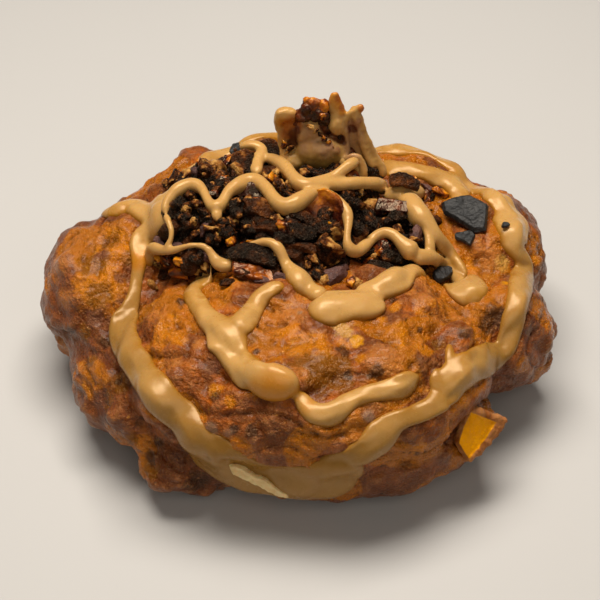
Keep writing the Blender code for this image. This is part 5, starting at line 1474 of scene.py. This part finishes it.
def rope_lines(ropes):
    """Every rope as steps (place, half width), with a tree to find the nearest."""
    steps = [(place, half) for _, points in ropes for place, half, _ in stations(points, CLEARING_STEP)]
    return steps, nearest_tree([place for place, _ in steps])


def cleared(place, size, normal, ropes):
    """This place, moved into the heap as far as a bit of this size needs to clear the drizzle over it."""
    steps, tree = ropes
    _, nearest, away = tree.find(place)
    over = steps[nearest][1] + size * MM - away
    return place - normal * max(0.0, over)


def heap_place(core_surface, reach, angle):
    """The point of the heap at this share of its reach and this angle, and the normal there."""
    x = HEAP_MIDDLE[0] + HEAP_REACH[0] * reach * math.cos(angle)
    y = HEAP_MIDDLE[1] + HEAP_REACH[1] * reach * math.sin(angle)
    return drop(core_surface, x, y)


def lay_shown_bits(laid, shapes, draw, core_surface, ropes):
    """The bits that show one by one, and those of the crown."""
    for count, (kind, place, half, yaw) in enumerate(SHOWN_BITS + CROWN_BITS):
        place = Vector(place) * MM
        normal = core_surface.find_nearest(place)[1]
        if count >= len(SHOWN_BITS):
            normal = CROWN_BIT_NORMAL.normalized()
        else:
            place = cleared(place, BIT_CLEARING * half[2], normal, ropes)
        turn = leaning(normal, math.radians(yaw), draw.uniform(*BIT_TIP), draw.uniform(*BIT_TIP_WAY))
        flat = half[2] < FLAT_BIT * half[0]
        choice = 0 if flat else 1 + count % (len(shapes[kind]) - 1)
        laid[kind].append(lay(shapes[kind][choice], f"{kind}_{count}", place, half, turn))


def lay_scattered_bits(laid, shapes, draw, core_surface, ropes):
    """The bits between them, spread evenly over the heap by the golden angle."""
    for count in range(SCATTERED_BITS):
        size = draw.uniform(*SCATTER_HALF)
        half = (size, size * draw.uniform(*SCATTER_WIDTHS), size * draw.uniform(*SCATTER_HEIGHTS))
        turn = [draw.uniform(0, math.tau), draw.uniform(*LOOSE_TIP), draw.uniform(*LOOSE_TIP_WAY)]
        kind = SCATTER_KINDS[draw.randrange(len(SCATTER_KINDS))]
        reach = math.sqrt((count + 0.5) / SCATTERED_BITS)
        place, normal = heap_place(core_surface, reach, count * GOLDEN_ANGLE)
        if place is None or patch_mask(np.array([place]), CAVES)[0] > CAVE_EDGE:
            continue
        lifted = place + normal * half[2] * SCATTER_LIFT * MM
        place = cleared(lifted, BIT_CLEARING * half[2], normal, ropes)
        shape = shapes[kind][count % len(shapes[kind])]
        laid[kind].append(lay(shape, f"bit_{count}", place, half, leaning(normal, *turn)))


def lay_grains(laid, grains, draw, core_surface, ropes):
    """Loose grains on top, each of one tone."""
    for count in range(GRAINS):
        reach = math.sqrt(draw.uniform(0, GRAIN_SPREAD))
        angle = draw.uniform(0, math.tau)
        size = draw.uniform(*GRAIN_HALF)
        tone = draw.choice(GRAIN_TONES)
        turn = [draw.uniform(0, math.tau), draw.uniform(*LOOSE_TIP)]
        lift = draw.uniform(*GRAIN_LIFT) * MM
        place, normal = heap_place(core_surface, reach, angle)
        if place is None:
            continue
        place = cleared(place + normal * lift, size, normal, ropes)
        half = (size, size * GRAIN_WIDTH, size * GRAIN_HEIGHT)
        grain = lay(grains[count % len(grains)], f"grain_{count}", place, half, leaning(normal, *turn))
        grain.data.attributes.remove(grain.data.attributes["tone"])
        paint(grain, "tone", np.full(len(grain.data.vertices), tone))
        laid["brown"].append(grain)


def make_bits(core_surface, ropes):
    """All the bits, joined into one piece for each kind."""
    shown = make_shapes(*SHOWN_SHAPES)
    plain = make_shapes(*PLAIN_SHAPES)
    grains = [make_chip(f"grain_shape_{i}", GRAIN_SEED + i, *GRAIN_SHAPE) for i in range(GRAIN_SHAPES)]
    for grain in grains:
        thin_out(grain, GRAIN_FACES_KEPT)
    laid = {kind: [] for kind in CHIP_SHAPES}
    draw = random.Random(BIT_SEED)
    lay_shown_bits(laid, shown, draw, core_surface, ropes)
    lay_scattered_bits(laid, plain, draw, core_surface, ropes)
    lay_grains(laid, grains, draw, core_surface, ropes)
    for group in (*shown.values(), *plain.values(), grains):
        for shape in group:
            bpy.data.objects.remove(shape)
    return {kind: shade_round(join(bits, f"{kind}_bits")) for kind, bits in laid.items()}


def make_rubble(core):
    """The mass of candied crumbs that the bits lie on, deep in its hollows, with painted shade in its
    hollows and a little over all of it, and the crumbs' painted light and shade.
    """
    rubble = copied(core, "heap_rubble")
    fuse(rubble, CORE_VOXEL, 3)
    points = points_of(rubble)
    crumbs = np.array([crumbly(Vector(p / MM) / CRUMB_SIZE) for p in points])
    cave = patch_mask(points, CAVES)
    stand_out(rubble, crumbs[:, 0] * CRUMB_SIZE - CAVE_DEPTH * cave - RUBBLE_SINK)
    # Painted shade: darker in the hollows and a little darker all over, over the crumbs' painted light and
    # shade.
    paint(rubble, "tone", crumbs[:, 1] - RUBBLE_SHADE - CAVE_SHADE * cave)
    return shade_round(rubble)


def make_crown_bacon():
    """The wet chunk of bacon that the crown's glaze half covers, each lump of its own tone, with painted
    light and painted shade on its crumbs.
    """
    balls = [
        add_lobe("lump", (x, y, z), (r, r * CHUNK_FLATNESS, r), 0, KNOB_SUBDIVISIONS)
        for x, y, z, r, _ in CROWN_BACON
    ]
    chunk = join(balls, "crown_bacon")
    fuse(chunk, SHEET_VOXEL, 8)
    points = points_of(chunk)
    table = np.array(CROWN_BACON)
    away = np.linalg.norm(points[:, None] / MM - table[None, :, :3], axis=2) - table[:, 3]
    tones = table[away.argmin(axis=1), 4]
    crumbs = np.array([crumbly(Vector(p / MM) / CHUNK_CRUMB_SIZE) for p in points])
    stand_out(chunk, 1.1 * crumbs[:, 0] + 0.1)
    paint(chunk, "tone", tones + 0.45 * crumbs[:, 1])
    return shade_round(chunk)


def make_sheet(name, thick, rows, points):
    """A bent slab of bacon through these rows of points, with a worn skin and its tone painted."""
    across = len(points) // rows
    lines = [[Vector(point) for point in points[i * across : (i + 1) * across]] for i in range(rows)]
    lines = [curve_through(line, SHEET_CURVE_STEPS) for line in lines]
    grid = [curve_through(list(line), SHEET_CURVE_STEPS) for line in zip(*lines)]
    mesh = bmesh.new()
    places = [[mesh.verts.new(point.xyz * MM) for point in line] for line in grid]
    for a, b in zip(places, places[1:]):
        for k in range(1, len(a)):
            mesh.faces.new((a[k - 1], a[k], b[k], b[k - 1]))
    sheet = object_of(mesh, name)
    thicken = sheet.modifiers.new("thickness", "SOLIDIFY")
    thicken.thickness = thick * MM
    thicken.offset = 0.0
    fuse(sheet, SHEET_VOXEL, 3)
    known = [point for line in grid for point in line]
    tree = nearest_tree([point.xyz * MM for point in known])
    swell, tones = [], []
    for p in points_of(sheet):
        q = Vector(p) / MM
        height, shade = crumbly(q / SHEET_CRUMB_SIZE)
        swell.append((0.5 * height + 0.7 * noise.noise(q / 2.6)) * 0.5 * thick)
        # Each point's tone, with the crumbs' painted light and painted shade.
        tones.append(known[tree.find(p)[1]][3] + 0.3 * shade)
    stand_out(sheet, swell)
    paint(sheet, "tone", np.array(tones))
    return shade_round(sheet)


def make_sheets():
    """The slabs and folds, joined into one piece for each finish."""
    made = {"glazed": [], "candied": []}
    for name, (kind, *shape) in HEAP_SHEETS.items():
        made[kind].append(make_sheet(name, *shape))
    return {kind: join(sheets, f"{kind}_slabs") for kind, sheets in made.items()}


def make_crown():
    """The glazed shapes that stand up from the heap, run together, with the stains of bacon kept."""
    balls = []
    for name, (flat, points) in CROWN_SHAPES.items():
        for x, y, z, radius in curve_through([Vector(point) for point in points], CROWN_CURVE_STEPS)[:-1]:
            balls.append(add_lobe(name, (x, y, z), (radius, radius * flat, radius), 0, 2))
    balls += [add_lobe(name, *sizes, KNOB_SUBDIVISIONS) for name, sizes in CROWN_LOBES.items()]
    crown = join(balls, "crown_glaze")
    fuse(crown, CROWN_VOXEL, 9)
    points = points_of(crown)
    for name, patches in CROWN_PATCHES.items():
        paint(crown, name, patch_mask(points, patches))
    swell = []
    for p, meat in zip(points, patch_mask(points, CROWN_PATCHES["meat"])):
        q = Vector(p) / MM
        height, _ = crumbly(q / CRUMB_SIZE)
        swell.append(0.28 * noise.noise(q / 3.4) + 0.14 * noise.noise(q / 1.2) + 0.9 * meat * height)
    stand_out(crown, swell)
    paint(crown, "thick", np.full(len(points), CROWN_THICKNESS))
    return shade_round(crown)


# The chips, the apple and the flake.


def make_plate(name, outline, thick, place, voxel, rounds, rough):
    """A flat chip with this outline, its edges drawn in above and below, broken and worn."""
    levels = [(level * thick, share) for level, share in PLATE_LEVELS]
    rings = [[Vector((x * share, y * share, z)) * MM for x, y in outline] for z, share in levels]
    plate = stacked(name, rings)
    fuse(plate, voxel, rounds)
    worn = [
        rough * noise.fractal(Vector(p) / (2.0 * MM), 0.8, 2.2, 4)
        - rough * 0.8 * smooth((0.3 - noise.voronoi(Vector(p) / (1.1 * MM))[0][0]) / 0.3)
        for p in points_of(plate)
    ]
    points = stand_out(plate, worn)
    paint(plate, "under", (-points[:, 2] / MM + 0.2 * thick) / (0.5 * thick))
    plate.data.transform(place)
    return shade_round(plate)


def resting(surface, x, y, rise):
    """Where and how a chip lies on the surface at this plan position."""
    point, normal = drop(surface, x, y)
    lean = up_along((normal + Vector((0, 0, 1))).normalized())
    return Matrix.Translation(point + normal * rise * MM) @ lean


def seen_from_front(surface, x, z):
    """Where a level look from the front meets the surface, and the way that the surface faces round it."""
    hits = [
        surface.ray_cast(Vector((x + across, FRONT, z + up)) * MM, Vector((0, 1, 0)))[:2]
        for across in FLAKE_BED
        for up in FLAKE_BED
    ]
    return hits[0][0], sum((normal for _, normal in hits), Vector()).normalized()


def make_apple():
    """A wedge with sharp corners, a flat side of flesh, and a browned rim and back."""
    corners = [Vector(corner) * MM for corner in APPLE_CORNERS]
    middle = sum(corners, Vector()) / len(corners)
    turn = Matrix.Translation(middle) @ up_along(Vector(APPLE_FACING).normalized())
    flat = [(turn.inverted() @ corner).xy for corner in corners]
    depth = APPLE_DEPTH * MM
    levels = [(level * depth, share) for level, share in APPLE_LEVELS]
    apple = stacked("apple_wedge", [[(x * share, y * share, z) for x, y in flat] for z, share in levels])
    fuse(apple, APPLE_VOXEL, 1)
    points, normals = points_of(apple), normals_of(apple)
    inside = np.full(len(points), 2.0)
    for a, b, rim in zip(flat, [*flat[1:], flat[0]], APPLE_RIMS):
        edge = (b - a).normalized()
        from_edge = (points[:, :2] - np.array(a)) @ np.array((edge.y, -edge.x)) / MM
        inside = np.minimum(inside, (np.abs(from_edge) - rim) / APPLE_RIM_FADE + 0.5)
    facing = np.clip(normals[:, 2] * 2.0 - 0.6, 0, 1)
    worn = []
    for p, flesh in zip(points, np.clip(inside, 0, 1)):
        q = Vector(p) / MM
        streaks = noise.noise(Vector((q.x / 0.9, q.y / 4.0, q.z / 0.9)))
        crusty = 0.4 * noise.noise(q / 1.6) + 0.2 * noise.noise(q / 0.7) + 0.5
        worn.append(0.2 * streaks + 0.2 * noise.noise(q / 3.0) + (1 - flesh) * crusty)
    stand_out(apple, worn)
    paint(apple, "flesh", np.clip(inside, 0, 1) * facing)
    apple.data.transform(turn)
    return shade_round(apple)


# Finishes.


class Nodes:
    """Short ways to add nodes to a tree and link them."""

    def __init__(self, tree):
        self.tree = tree

    def add(self, kind, **values):
        """Adds a node. Small-letter names are its settings; capital ones are its sockets, set or linked."""
        made = self.tree.nodes.new("ShaderNode" + kind)
        for key, value in values.items():
            if key[0].islower():
                setattr(made, key, value)
            else:
                self.feed(made.inputs[key.replace("_", " ")], value)
        return made

    def feed(self, socket, value):
        if isinstance(value, bpy.types.NodeSocket):
            self.tree.links.new(value, socket)
        elif isinstance(value, tuple) and socket.type == "RGBA":
            socket.default_value = (*value, 1.0)
        else:
            socket.default_value = value

    def maths(self, operation, a, b, clamp=False):
        made = self.add("Math", operation=operation, use_clamp=clamp)
        self.feed(made.inputs[0], a)
        self.feed(made.inputs[1], b)
        return made.outputs[0]

    def times(self, a, b):
        return self.maths("MULTIPLY", a, b)

    def plus(self, a, b, clamp=False):
        return self.maths("ADD", a, b, clamp)

    def minus(self, a, b):
        return self.maths("SUBTRACT", a, b)

    def blend(self, share, a, b):
        made = self.add("Mix", data_type="RGBA")
        for place, value in ((0, share), (6, a), (7, b)):
            self.feed(made.inputs[place], value)
        return made.outputs[2]

    def place(self):
        return self.add("TexCoord").outputs["Object"]

    def cloud(self, scale, detail):
        made = self.add("TexNoise", Vector=self.place(), Scale=scale, Detail=detail, Roughness=0.6)
        return made.outputs["Fac"]

    def cells(self, scale):
        return self.add("TexVoronoi", Vector=self.place(), Scale=scale).outputs["Distance"]


def new_group(name, inputs, outputs):
    """A shared group with these named inputs and outputs: its nodes, its inputs and its outputs."""
    tree = bpy.data.node_groups.new(name, "ShaderNodeTree")
    for label, value in inputs.items():
        socket = tree.interface.new_socket(label, in_out="INPUT", socket_type="NodeSocketFloat")
        socket.default_value = value
    for label in outputs:
        tree.interface.new_socket(label, in_out="OUTPUT", socket_type="NodeSocketFloat")
    return Nodes(tree), tree.nodes.new("NodeGroupInput").outputs, tree.nodes.new("NodeGroupOutput").inputs


def make_mottle_group():
    """A soft mottle between 0 and 1: how many to a metre, and how hard its edges are."""
    nodes, given, out = new_group("mottle", {"Scale": 200.0, "Hardness": 2.0, "Middle": 0.5}, ["Mask"])
    centred = nodes.minus(nodes.cloud(given["Scale"], 4.0), given["Middle"])
    nodes.feed(out["Mask"], nodes.plus(nodes.times(centred, given["Hardness"]), 0.5, clamp=True))
    return nodes.tree


def make_ragged_group():
    """Breaks up the edge of a painted mask."""
    inputs = {"Mask": 0.0, "Scale": 600.0, "Raggedness": 0.9, "Hardness": 3.0}
    nodes, given, out = new_group("ragged edge", inputs, ["Mask"])
    spread = nodes.times(nodes.minus(nodes.cloud(given["Scale"], 3.0), 0.5), given["Raggedness"])
    centred = nodes.minus(nodes.plus(given["Mask"], spread), 0.5)
    nodes.feed(out["Mask"], nodes.plus(nodes.times(centred, given["Hardness"]), 0.5, clamp=True))
    return nodes.tree


def make_grain_group():
    """Fine sugar and crumb: its height, and where its crystals catch the light."""
    nodes, given, out = new_group("sugar grain", {"Scale": 1600.0}, ["Height", "Crystals"])
    bumps = nodes.minus(0.6, nodes.cells(nodes.times(given["Scale"], 0.7)))
    fine = nodes.cloud(given["Scale"], 2.0)
    nodes.feed(out["Height"], nodes.plus(nodes.times(bumps, 0.5), nodes.times(fine, 0.7)))
    near = nodes.minus(0.26, nodes.cells(nodes.times(given["Scale"], 0.5)))
    nodes.feed(out["Crystals"], nodes.maths("MULTIPLY", near, 8.0, clamp=True))
    return nodes.tree


class Finish(Nodes):
    """A material while it is made, with the shared groups at hand."""

    def __init__(self, groups, name, roughness, **uniform):
        self.made = bpy.data.materials.new(name)
        self.made.use_nodes = True
        super().__init__(self.made.node_tree)
        self.groups = groups
        self.shader = self.tree.nodes["Principled BSDF"].inputs
        self.shader["Roughness"].default_value = roughness
        for key, value in uniform.items():
            self.shader[key.replace("_", " ")].default_value = value

    def use(self, group, **values):
        made = self.add("Group", node_tree=self.groups[group])
        for key, value in values.items():
            self.feed(made.inputs[key], value)
        return made.outputs

    def mottle(self, scale, hardness, middle=0.5):
        return self.use("mottle", Scale=scale, Hardness=hardness, Middle=middle)["Mask"]

    def painted(self, mask):
        return self.add("Attribute", attribute_name=mask).outputs["Fac"]

    def ragged(self, mask, scale, raggedness, hardness):
        """The painted mask with its edge broken up."""
        edge = {"Scale": scale, "Raggedness": raggedness, "Hardness": hardness}
        return self.use("ragged edge", Mask=self.painted(mask), **edge)["Mask"]

    def grain(self, scale):
        return self.use("sugar grain", Scale=scale)

    def layered(self, colour, layers, wet_masks=()):
        """The colour with each layer laid over it, and where the wet ones are."""
        wet = 0.0
        for mask, scale, raggedness, hardness, cover, layer in layers:
            edge = self.ragged(mask, scale, raggedness, hardness)
            colour = self.blend(self.times(edge, cover), colour, layer)
            if mask in wet_masks:
                wet = self.maths("MAXIMUM", wet, edge)
        return colour, wet

    def toned(self, tone, tones):
        """The colour for a tone between 0 and 1, from a table of (where, colour)."""
        ramp = self.add("ValToRGB", Fac=tone)
        stops = ramp.color_ramp.elements
        for at, _ in tones[1:-1]:
            stops.new(at)
        for stop, (at, colour) in zip(stops, tones):
            stop.position = at
            stop.color = (*colour, 1.0)
        return ramp.outputs["Color"]

    def bump(self, height, distance, strength=1.0, under=None):
        made = self.add("Bump", Strength=strength, Distance=distance * MM, Height=height)
        if under is not None:
            self.feed(made.inputs["Normal"], under)
        return made.outputs["Normal"]

    def finished(self, **sockets):
        """Links these to the shader's sockets, and gives the material."""
        for key, value in sockets.items():
            self.feed(self.shader[key.replace("_", " ")], value)
        return self.made


def crust_finish(groups):
    """Fried crust: brown to glowing orange, tan and sugary on its crests, with painted shade in its folds,
    hollows and pits, down its left side and in brown patches.
    """
    f = Finish(
        groups, "fried_crust", 0.36, Specular_IOR_Level=0.42, Specular_Tint=CRUST_GLOSS,
        Coat_Weight=0.16, Coat_Roughness=0.10, Coat_IOR=1.35,
        Subsurface_Weight=0.15, Subsurface_Radius=(1.0, 0.25, 0.03), Subsurface_Scale=1.2 * MM,
    )
    small = f.mottle(520.0, 5.0, 0.54)
    fine = f.mottle(900.0, 3.0)
    colour = f.blend(f.times(f.mottle(85.0, 5.0, 0.47), 0.85), BROWN_CRUST, ORANGE_CRUST)
    colour = f.blend(f.times(f.mottle(230.0, 5.0, 0.55), 0.55), colour, TAN_CRUST)
    colour = f.blend(f.times(f.mottle(150.0, 3.0, 0.55), 0.6), colour, DEEP_BROWN)
    colour = f.blend(f.times(small, 0.4), colour, PURPLE_CRUST)
    colour, wet = f.layered(colour, CRUST_LAYERS, WET_MASKS)
    crest = f.ragged("crest", 600.0, 0.7, 1.5)
    dry = f.minus(0.6, f.times(wet, 0.5))
    colour = f.blend(f.times(f.times(crest, fine), dry), colour, SUGAR_FILM)
    sugar = f.grain(1500.0)
    sparkle = f.times(sugar["Crystals"], f.times(fine, 0.5))
    rough = f.plus(f.minus(0.30, f.times(wet, 0.16)), f.times(small, 0.1))
    relief = f.bump(sugar["Height"], 0.45, 0.9, f.bump(fine, 0.3))
    return f.finished(Base_Color=f.blend(sparkle, colour, SUGAR_FILM), Roughness=rough, Normal=relief)


def drizzle_finish(groups):
    """Tan drizzle: cream where it is thick, ochre where it is thin, where what it covers shows through and
    painted shade falls along its edges; darker low down as painted shade.
    """
    f = Finish(
        groups, "tan_drizzle", 0.3, Specular_IOR_Level=0.45, Specular_Tint=WARM_GLOSS,
        Subsurface_Weight=0.25, Subsurface_Radius=(1.0, 0.5, 0.12), Subsurface_Scale=1.2 * MM,
    )
    colour = f.blend(f.times(f.mottle(160.0, 1.6), 0.4), CREAM, PALE_CREAM)
    # Ochre where thin: the crust showing through, and painted shade along the edges.
    colour = f.blend(f.ragged("thick", 500.0, 0.4, 1.4), OCHRE, colour)
    colour, _ = f.layered(colour, DRIZZLE_LAYERS)
    specks = f.times(f.grain(700.0)["Crystals"], f.mottle(400.0, 12.0, 0.64))
    colour = f.blend(f.times(specks, 0.5), colour, OCHRE)
    rough = f.plus(0.2, f.times(f.mottle(300.0, 2.0), 0.14))
    return f.finished(Base_Color=colour, Roughness=rough, Normal=f.bump(f.mottle(420.0, 1.0), 0.1, 0.4))


def glazed_finish(groups):
    """Wet folds of bacon and jam: dark red where thick, glowing orange where thin."""
    f = Finish(
        groups, "glazed_bacon", 0.2, Specular_IOR_Level=0.5, Specular_Tint=WARM_GLOSS,
        Subsurface_Weight=0.2, Subsurface_Radius=(1.0, 0.3, 0.03), Subsurface_Scale=1.0 * MM,
    )
    patches = f.mottle(420.0, 2.5)
    tone = f.plus(f.painted("tone"), f.times(f.minus(patches, 0.5), 0.3))
    rough = f.plus(0.12, f.times(f.mottle(1300.0, 3.0), 0.16))
    relief = f.bump(f.grain(1300.0)["Height"], 0.1, 0.7, f.bump(patches, 0.25))
    return f.finished(Base_Color=f.toned(tone, GLAZED_TONES), Roughness=rough, Normal=relief)


def candied_finish(groups):
    """Candied bacon: each crumb's own tone, from burnt black to tan, with sugar and syrup on it."""
    f = Finish(groups, "candied_bacon", 0.3, Specular_IOR_Level=0.28, Specular_Tint=SYRUP_GLOSS)
    patches = f.mottle(500.0, 3.0)
    fine = f.mottle(1700.0, 3.0)
    tone = f.plus(f.painted("tone"), f.times(f.minus(patches, 0.5), 0.34))
    colour = f.toned(f.minus(tone, f.times(fine, 0.10)), BACON_TONES)
    sugar = f.grain(1900.0)
    sparkle = f.times(f.times(sugar["Crystals"], patches), 0.22)
    rough = f.plus(0.12, f.times(fine, 0.30))
    relief = f.bump(sugar["Height"], 0.25, 0.9, f.bump(fine, 0.3))
    return f.finished(Base_Color=f.blend(sparkle, colour, SUGAR_FILM), Roughness=rough, Normal=relief)


def purple_finish(groups):
    """Bacon fat dyed purple by the sugar, in patches."""
    f = Finish(groups, "purple_bacon", 0.36, Specular_IOR_Level=0.45)
    patches = f.mottle(420.0, 4.0)
    fine = f.mottle(1680.0, 3.0)
    colour = f.blend(patches, PURPLE_BACON_DARK, PURPLE_BACON)
    colour = f.blend(f.times(fine, 0.5), colour, PURPLE_BACON_DARK)
    sugar = f.grain(1900.0)
    sparkle = f.times(f.times(sugar["Crystals"], 0.35), patches)
    rough = f.plus(0.36, f.times(fine, 0.18))
    relief = f.bump(sugar["Height"], 0.14, 0.8, f.bump(fine, 0.20))
    return f.finished(Base_Color=f.blend(sparkle, colour, SUGAR_FILM), Roughness=rough, Normal=relief)


def chip_finish(groups):
    """Slate-grey charred bacon, red underneath, with grey sugar on it."""
    f = Finish(groups, "charred_bacon", 0.5, Specular_IOR_Level=0.3)
    patches = f.mottle(420.0, 4.0)
    colour = f.blend(patches, CHAR, GREY_CHAR)
    colour = f.blend(f.times(f.ragged("under", 500.0, 0.9, 3.0), 0.9), colour, CHAR_UNDERSIDE)
    sugar = f.grain(1500.0)
    colour = f.blend(f.times(sugar["Crystals"], 0.2), colour, GREY_SUGAR)
    return f.finished(Base_Color=colour, Normal=f.bump(sugar["Height"], 0.18, 0.8, f.bump(patches, 0.2)))


def apple_finish(groups):
    """Clear yellow flesh inside a browned rim."""
    f = Finish(
        groups, "fried_apple", 0.3, Specular_IOR_Level=0.2, Specular_Tint=APPLE_GLOSS,
        Subsurface_Weight=0.15, Subsurface_Radius=(1.0, 0.5, 0.02), Subsurface_Scale=1.5 * MM,
    )
    flesh = f.ragged("flesh", 420.0, 0.8, 3.0)
    patches = f.mottle(260.0, 3.0)
    inside = f.blend(f.times(patches, 0.6), APPLE_FLESH, DEEP_APPLE_FLESH)
    colour = f.blend(flesh, f.blend(patches, APPLE_RIND, PALE_APPLE_RIND), inside)
    rough = f.minus(0.5, f.times(flesh, 0.2))
    relief = f.bump(f.grain(1400.0)["Height"], 0.12, 0.6, f.bump(f.mottle(900.0, 2.0), 0.2))
    return f.finished(Base_Color=colour, Roughness=rough, Normal=relief)


def flake_finish(groups):
    """Pale dry crust."""
    f = Finish(groups, "pale_flake", 0.5, Subsurface_Weight=0.3, Subsurface_Scale=1.0 * MM)
    colour = f.blend(f.mottle(500.0, 2.5), FLAKE_TAN, FLAKE_CREAM)
    return f.finished(Base_Color=colour, Normal=f.bump(f.grain(1300.0)["Height"], 0.15, 0.7))


def floor_finish():
    f = Finish({}, "pale_floor", 0.75)
    cloud = f.add("TexNoise", Vector=f.place(), Scale=6.0, Detail=3.0)
    return f.finished(Base_Color=f.blend(cloud.outputs["Fac"], FLOOR_GREY, FLOOR_PALE))


def give_finish(obj, made):
    obj.data.materials.clear()
    obj.data.materials.append(made)


# The stage, the lights and the camera.


def set_stage():
    bpy.ops.object.select_all(action="DESELECT")
    bpy.ops.mesh.primitive_plane_add(size=FLOOR_SIZE, location=(0, 0, 0))
    floor = bpy.context.object
    floor.name = "floor"
    give_finish(floor, floor_finish())
    world = bpy.data.worlds.new("soft_room")
    world.use_nodes = True
    world.node_tree.nodes["Background"].inputs["Color"].default_value = ROOM_COLOUR
    world.node_tree.nodes["Background"].inputs["Strength"].default_value = ROOM_LIGHT
    bpy.context.scene.world = world
    for name, (place, size, power) in SOFT_LIGHTS.items():
        light = bpy.data.lights.new(name, "AREA")
        light.shape = "RECTANGLE"
        light.size, light.size_y = size
        light.energy = power
        light.color = LIGHT_COLOUR
        lamp = bpy.data.objects.new(name, light)
        lamp.location = place
        lamp.rotation_euler = (Vector(CAMERA_TARGET) - Vector(place)).to_track_quat("-Z", "Y").to_euler()
        bpy.context.scene.collection.objects.link(lamp)


def set_camera():
    rise = math.radians(CAMERA_ELEVATION)
    back = Vector((0, -math.cos(rise), math.sin(rise)))
    camera = bpy.data.cameras.new("front_view")
    camera.lens = CAMERA_LENS
    camera.clip_start = CAMERA_CLIP_START
    viewer = bpy.data.objects.new("front_view", camera)
    viewer.location = Vector(CAMERA_TARGET) + back * CAMERA_DISTANCE
    viewer.rotation_euler = (-back).to_track_quat("-Z", "Y").to_euler()
    bpy.context.scene.collection.objects.link(viewer)
    bpy.context.scene.camera = viewer


def pour_all(ropes, surfaces, hanging):
    """Every rope of a table, with the proud ones kept at their own height."""
    return [
        pour(name, *rope, surfaces, hanging or name in PROUD_ROPES, count)
        for count, (name, rope) in enumerate(ropes.items())
    ]


def make_pieces():
    """Every piece of the fritter: the object, its finish, its slot and the nodes that it stands for."""
    form = make_form()
    core = fused_lobes(HEAP_LOBES, "heap_core")
    form_surface, core_surface = surface_of(form), surface_of(core)
    crust, crust_tree = make_crust(form)
    lying = [crust_tree, core_surface]
    drizzle = settle(join(pour_all(DOUGH_ROPES, lying, False), "dough_drizzle"), 7, crust_tree)
    swags = settle(join(pour_all(HEAP_ROPES, lying, True), "heap_drizzle"), 4, crust_tree)
    rubble = make_rubble(core)
    bits = make_bits(core_surface, rope_lines([*HEAP_ROPES.values(), *DOUGH_ROPES.values()]))
    sheets = make_sheets()
    sheets["glazed"] = join([sheets["glazed"], make_crown_bacon()], "glazed_bacon")
    crown = make_crown()
    chip_place = resting(form_surface, *GREY_CHIP_PLACE, GREY_CHIP_RISE)
    grey_chip = make_plate("grey_chip_top", GREY_CHIP_OUTLINE, GREY_CHIP_THICK, chip_place, *CHIP_WEAR)
    chips = [
        make_plate(name, outline, thick, resting(form_surface, *place, rise), *SMALL_CHIP_WEAR)
        for name, (outline, thick, place, rise) in SMALL_CHIPS.items()
    ]
    small_chips = join(chips, "small_chips")
    point, normal = seen_from_front(surface_of(drizzle), *FLAKE_PLACE)
    flake_place = Matrix.Translation(point + normal * FLAKE_THICK * FLAKE_RISE * MM) @ up_along(normal)
    flake = make_plate("cream_flake", FLAKE_OUTLINE, FLAKE_THICK, flake_place, *FLAKE_WEAR)
    apple = make_apple()
    bpy.data.objects.remove(form)
    bpy.data.objects.remove(core)

    groups = {
        "mottle": make_mottle_group(),
        "ragged edge": make_ragged_group(),
        "sugar grain": make_grain_group(),
    }
    poured, candied, glazed, charred = (
        make(groups) for make in (drizzle_finish, candied_finish, glazed_finish, chip_finish)
    )
    bit_finishes = {"red": glazed, "orange": glazed, "purple": purple_finish(groups)}
    return [
        (crust, crust_finish(groups), "dough", ["dough"]),
        (drizzle, poured, "dough", []),
        (small_chips, charred, "charred_bacon", []),
        (rubble, candied, "bacon", ["bacon_heap"]),
        (swags, poured, "dough", []),
        (crown, poured, "dough", []),
        *[(piece, bit_finishes.get(kind, candied), "bacon", []) for kind, piece in bits.items()],
        (sheets["glazed"], glazed, "bacon", []),
        (sheets["candied"], candied, "bacon", []),
        (grey_chip, charred, "charred_bacon", ["grey_chip"]),
        (apple, apple_finish(groups), "apple", ["apple_chunk"]),
        (flake, flake_finish(groups), "crust_flake", ["pale_flake"]),
    ]


def main():
    noise.seed_set(NOISE_SEED)
    bpy.context.scene.view_settings.view_transform = "Standard"
    for piece, finish, slot, stands_for in make_pieces():
        give_finish(piece, finish)
        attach(piece, "root")
        if stands_for:
            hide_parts(*stands_for)
    set_stage()
    set_camera()


main()
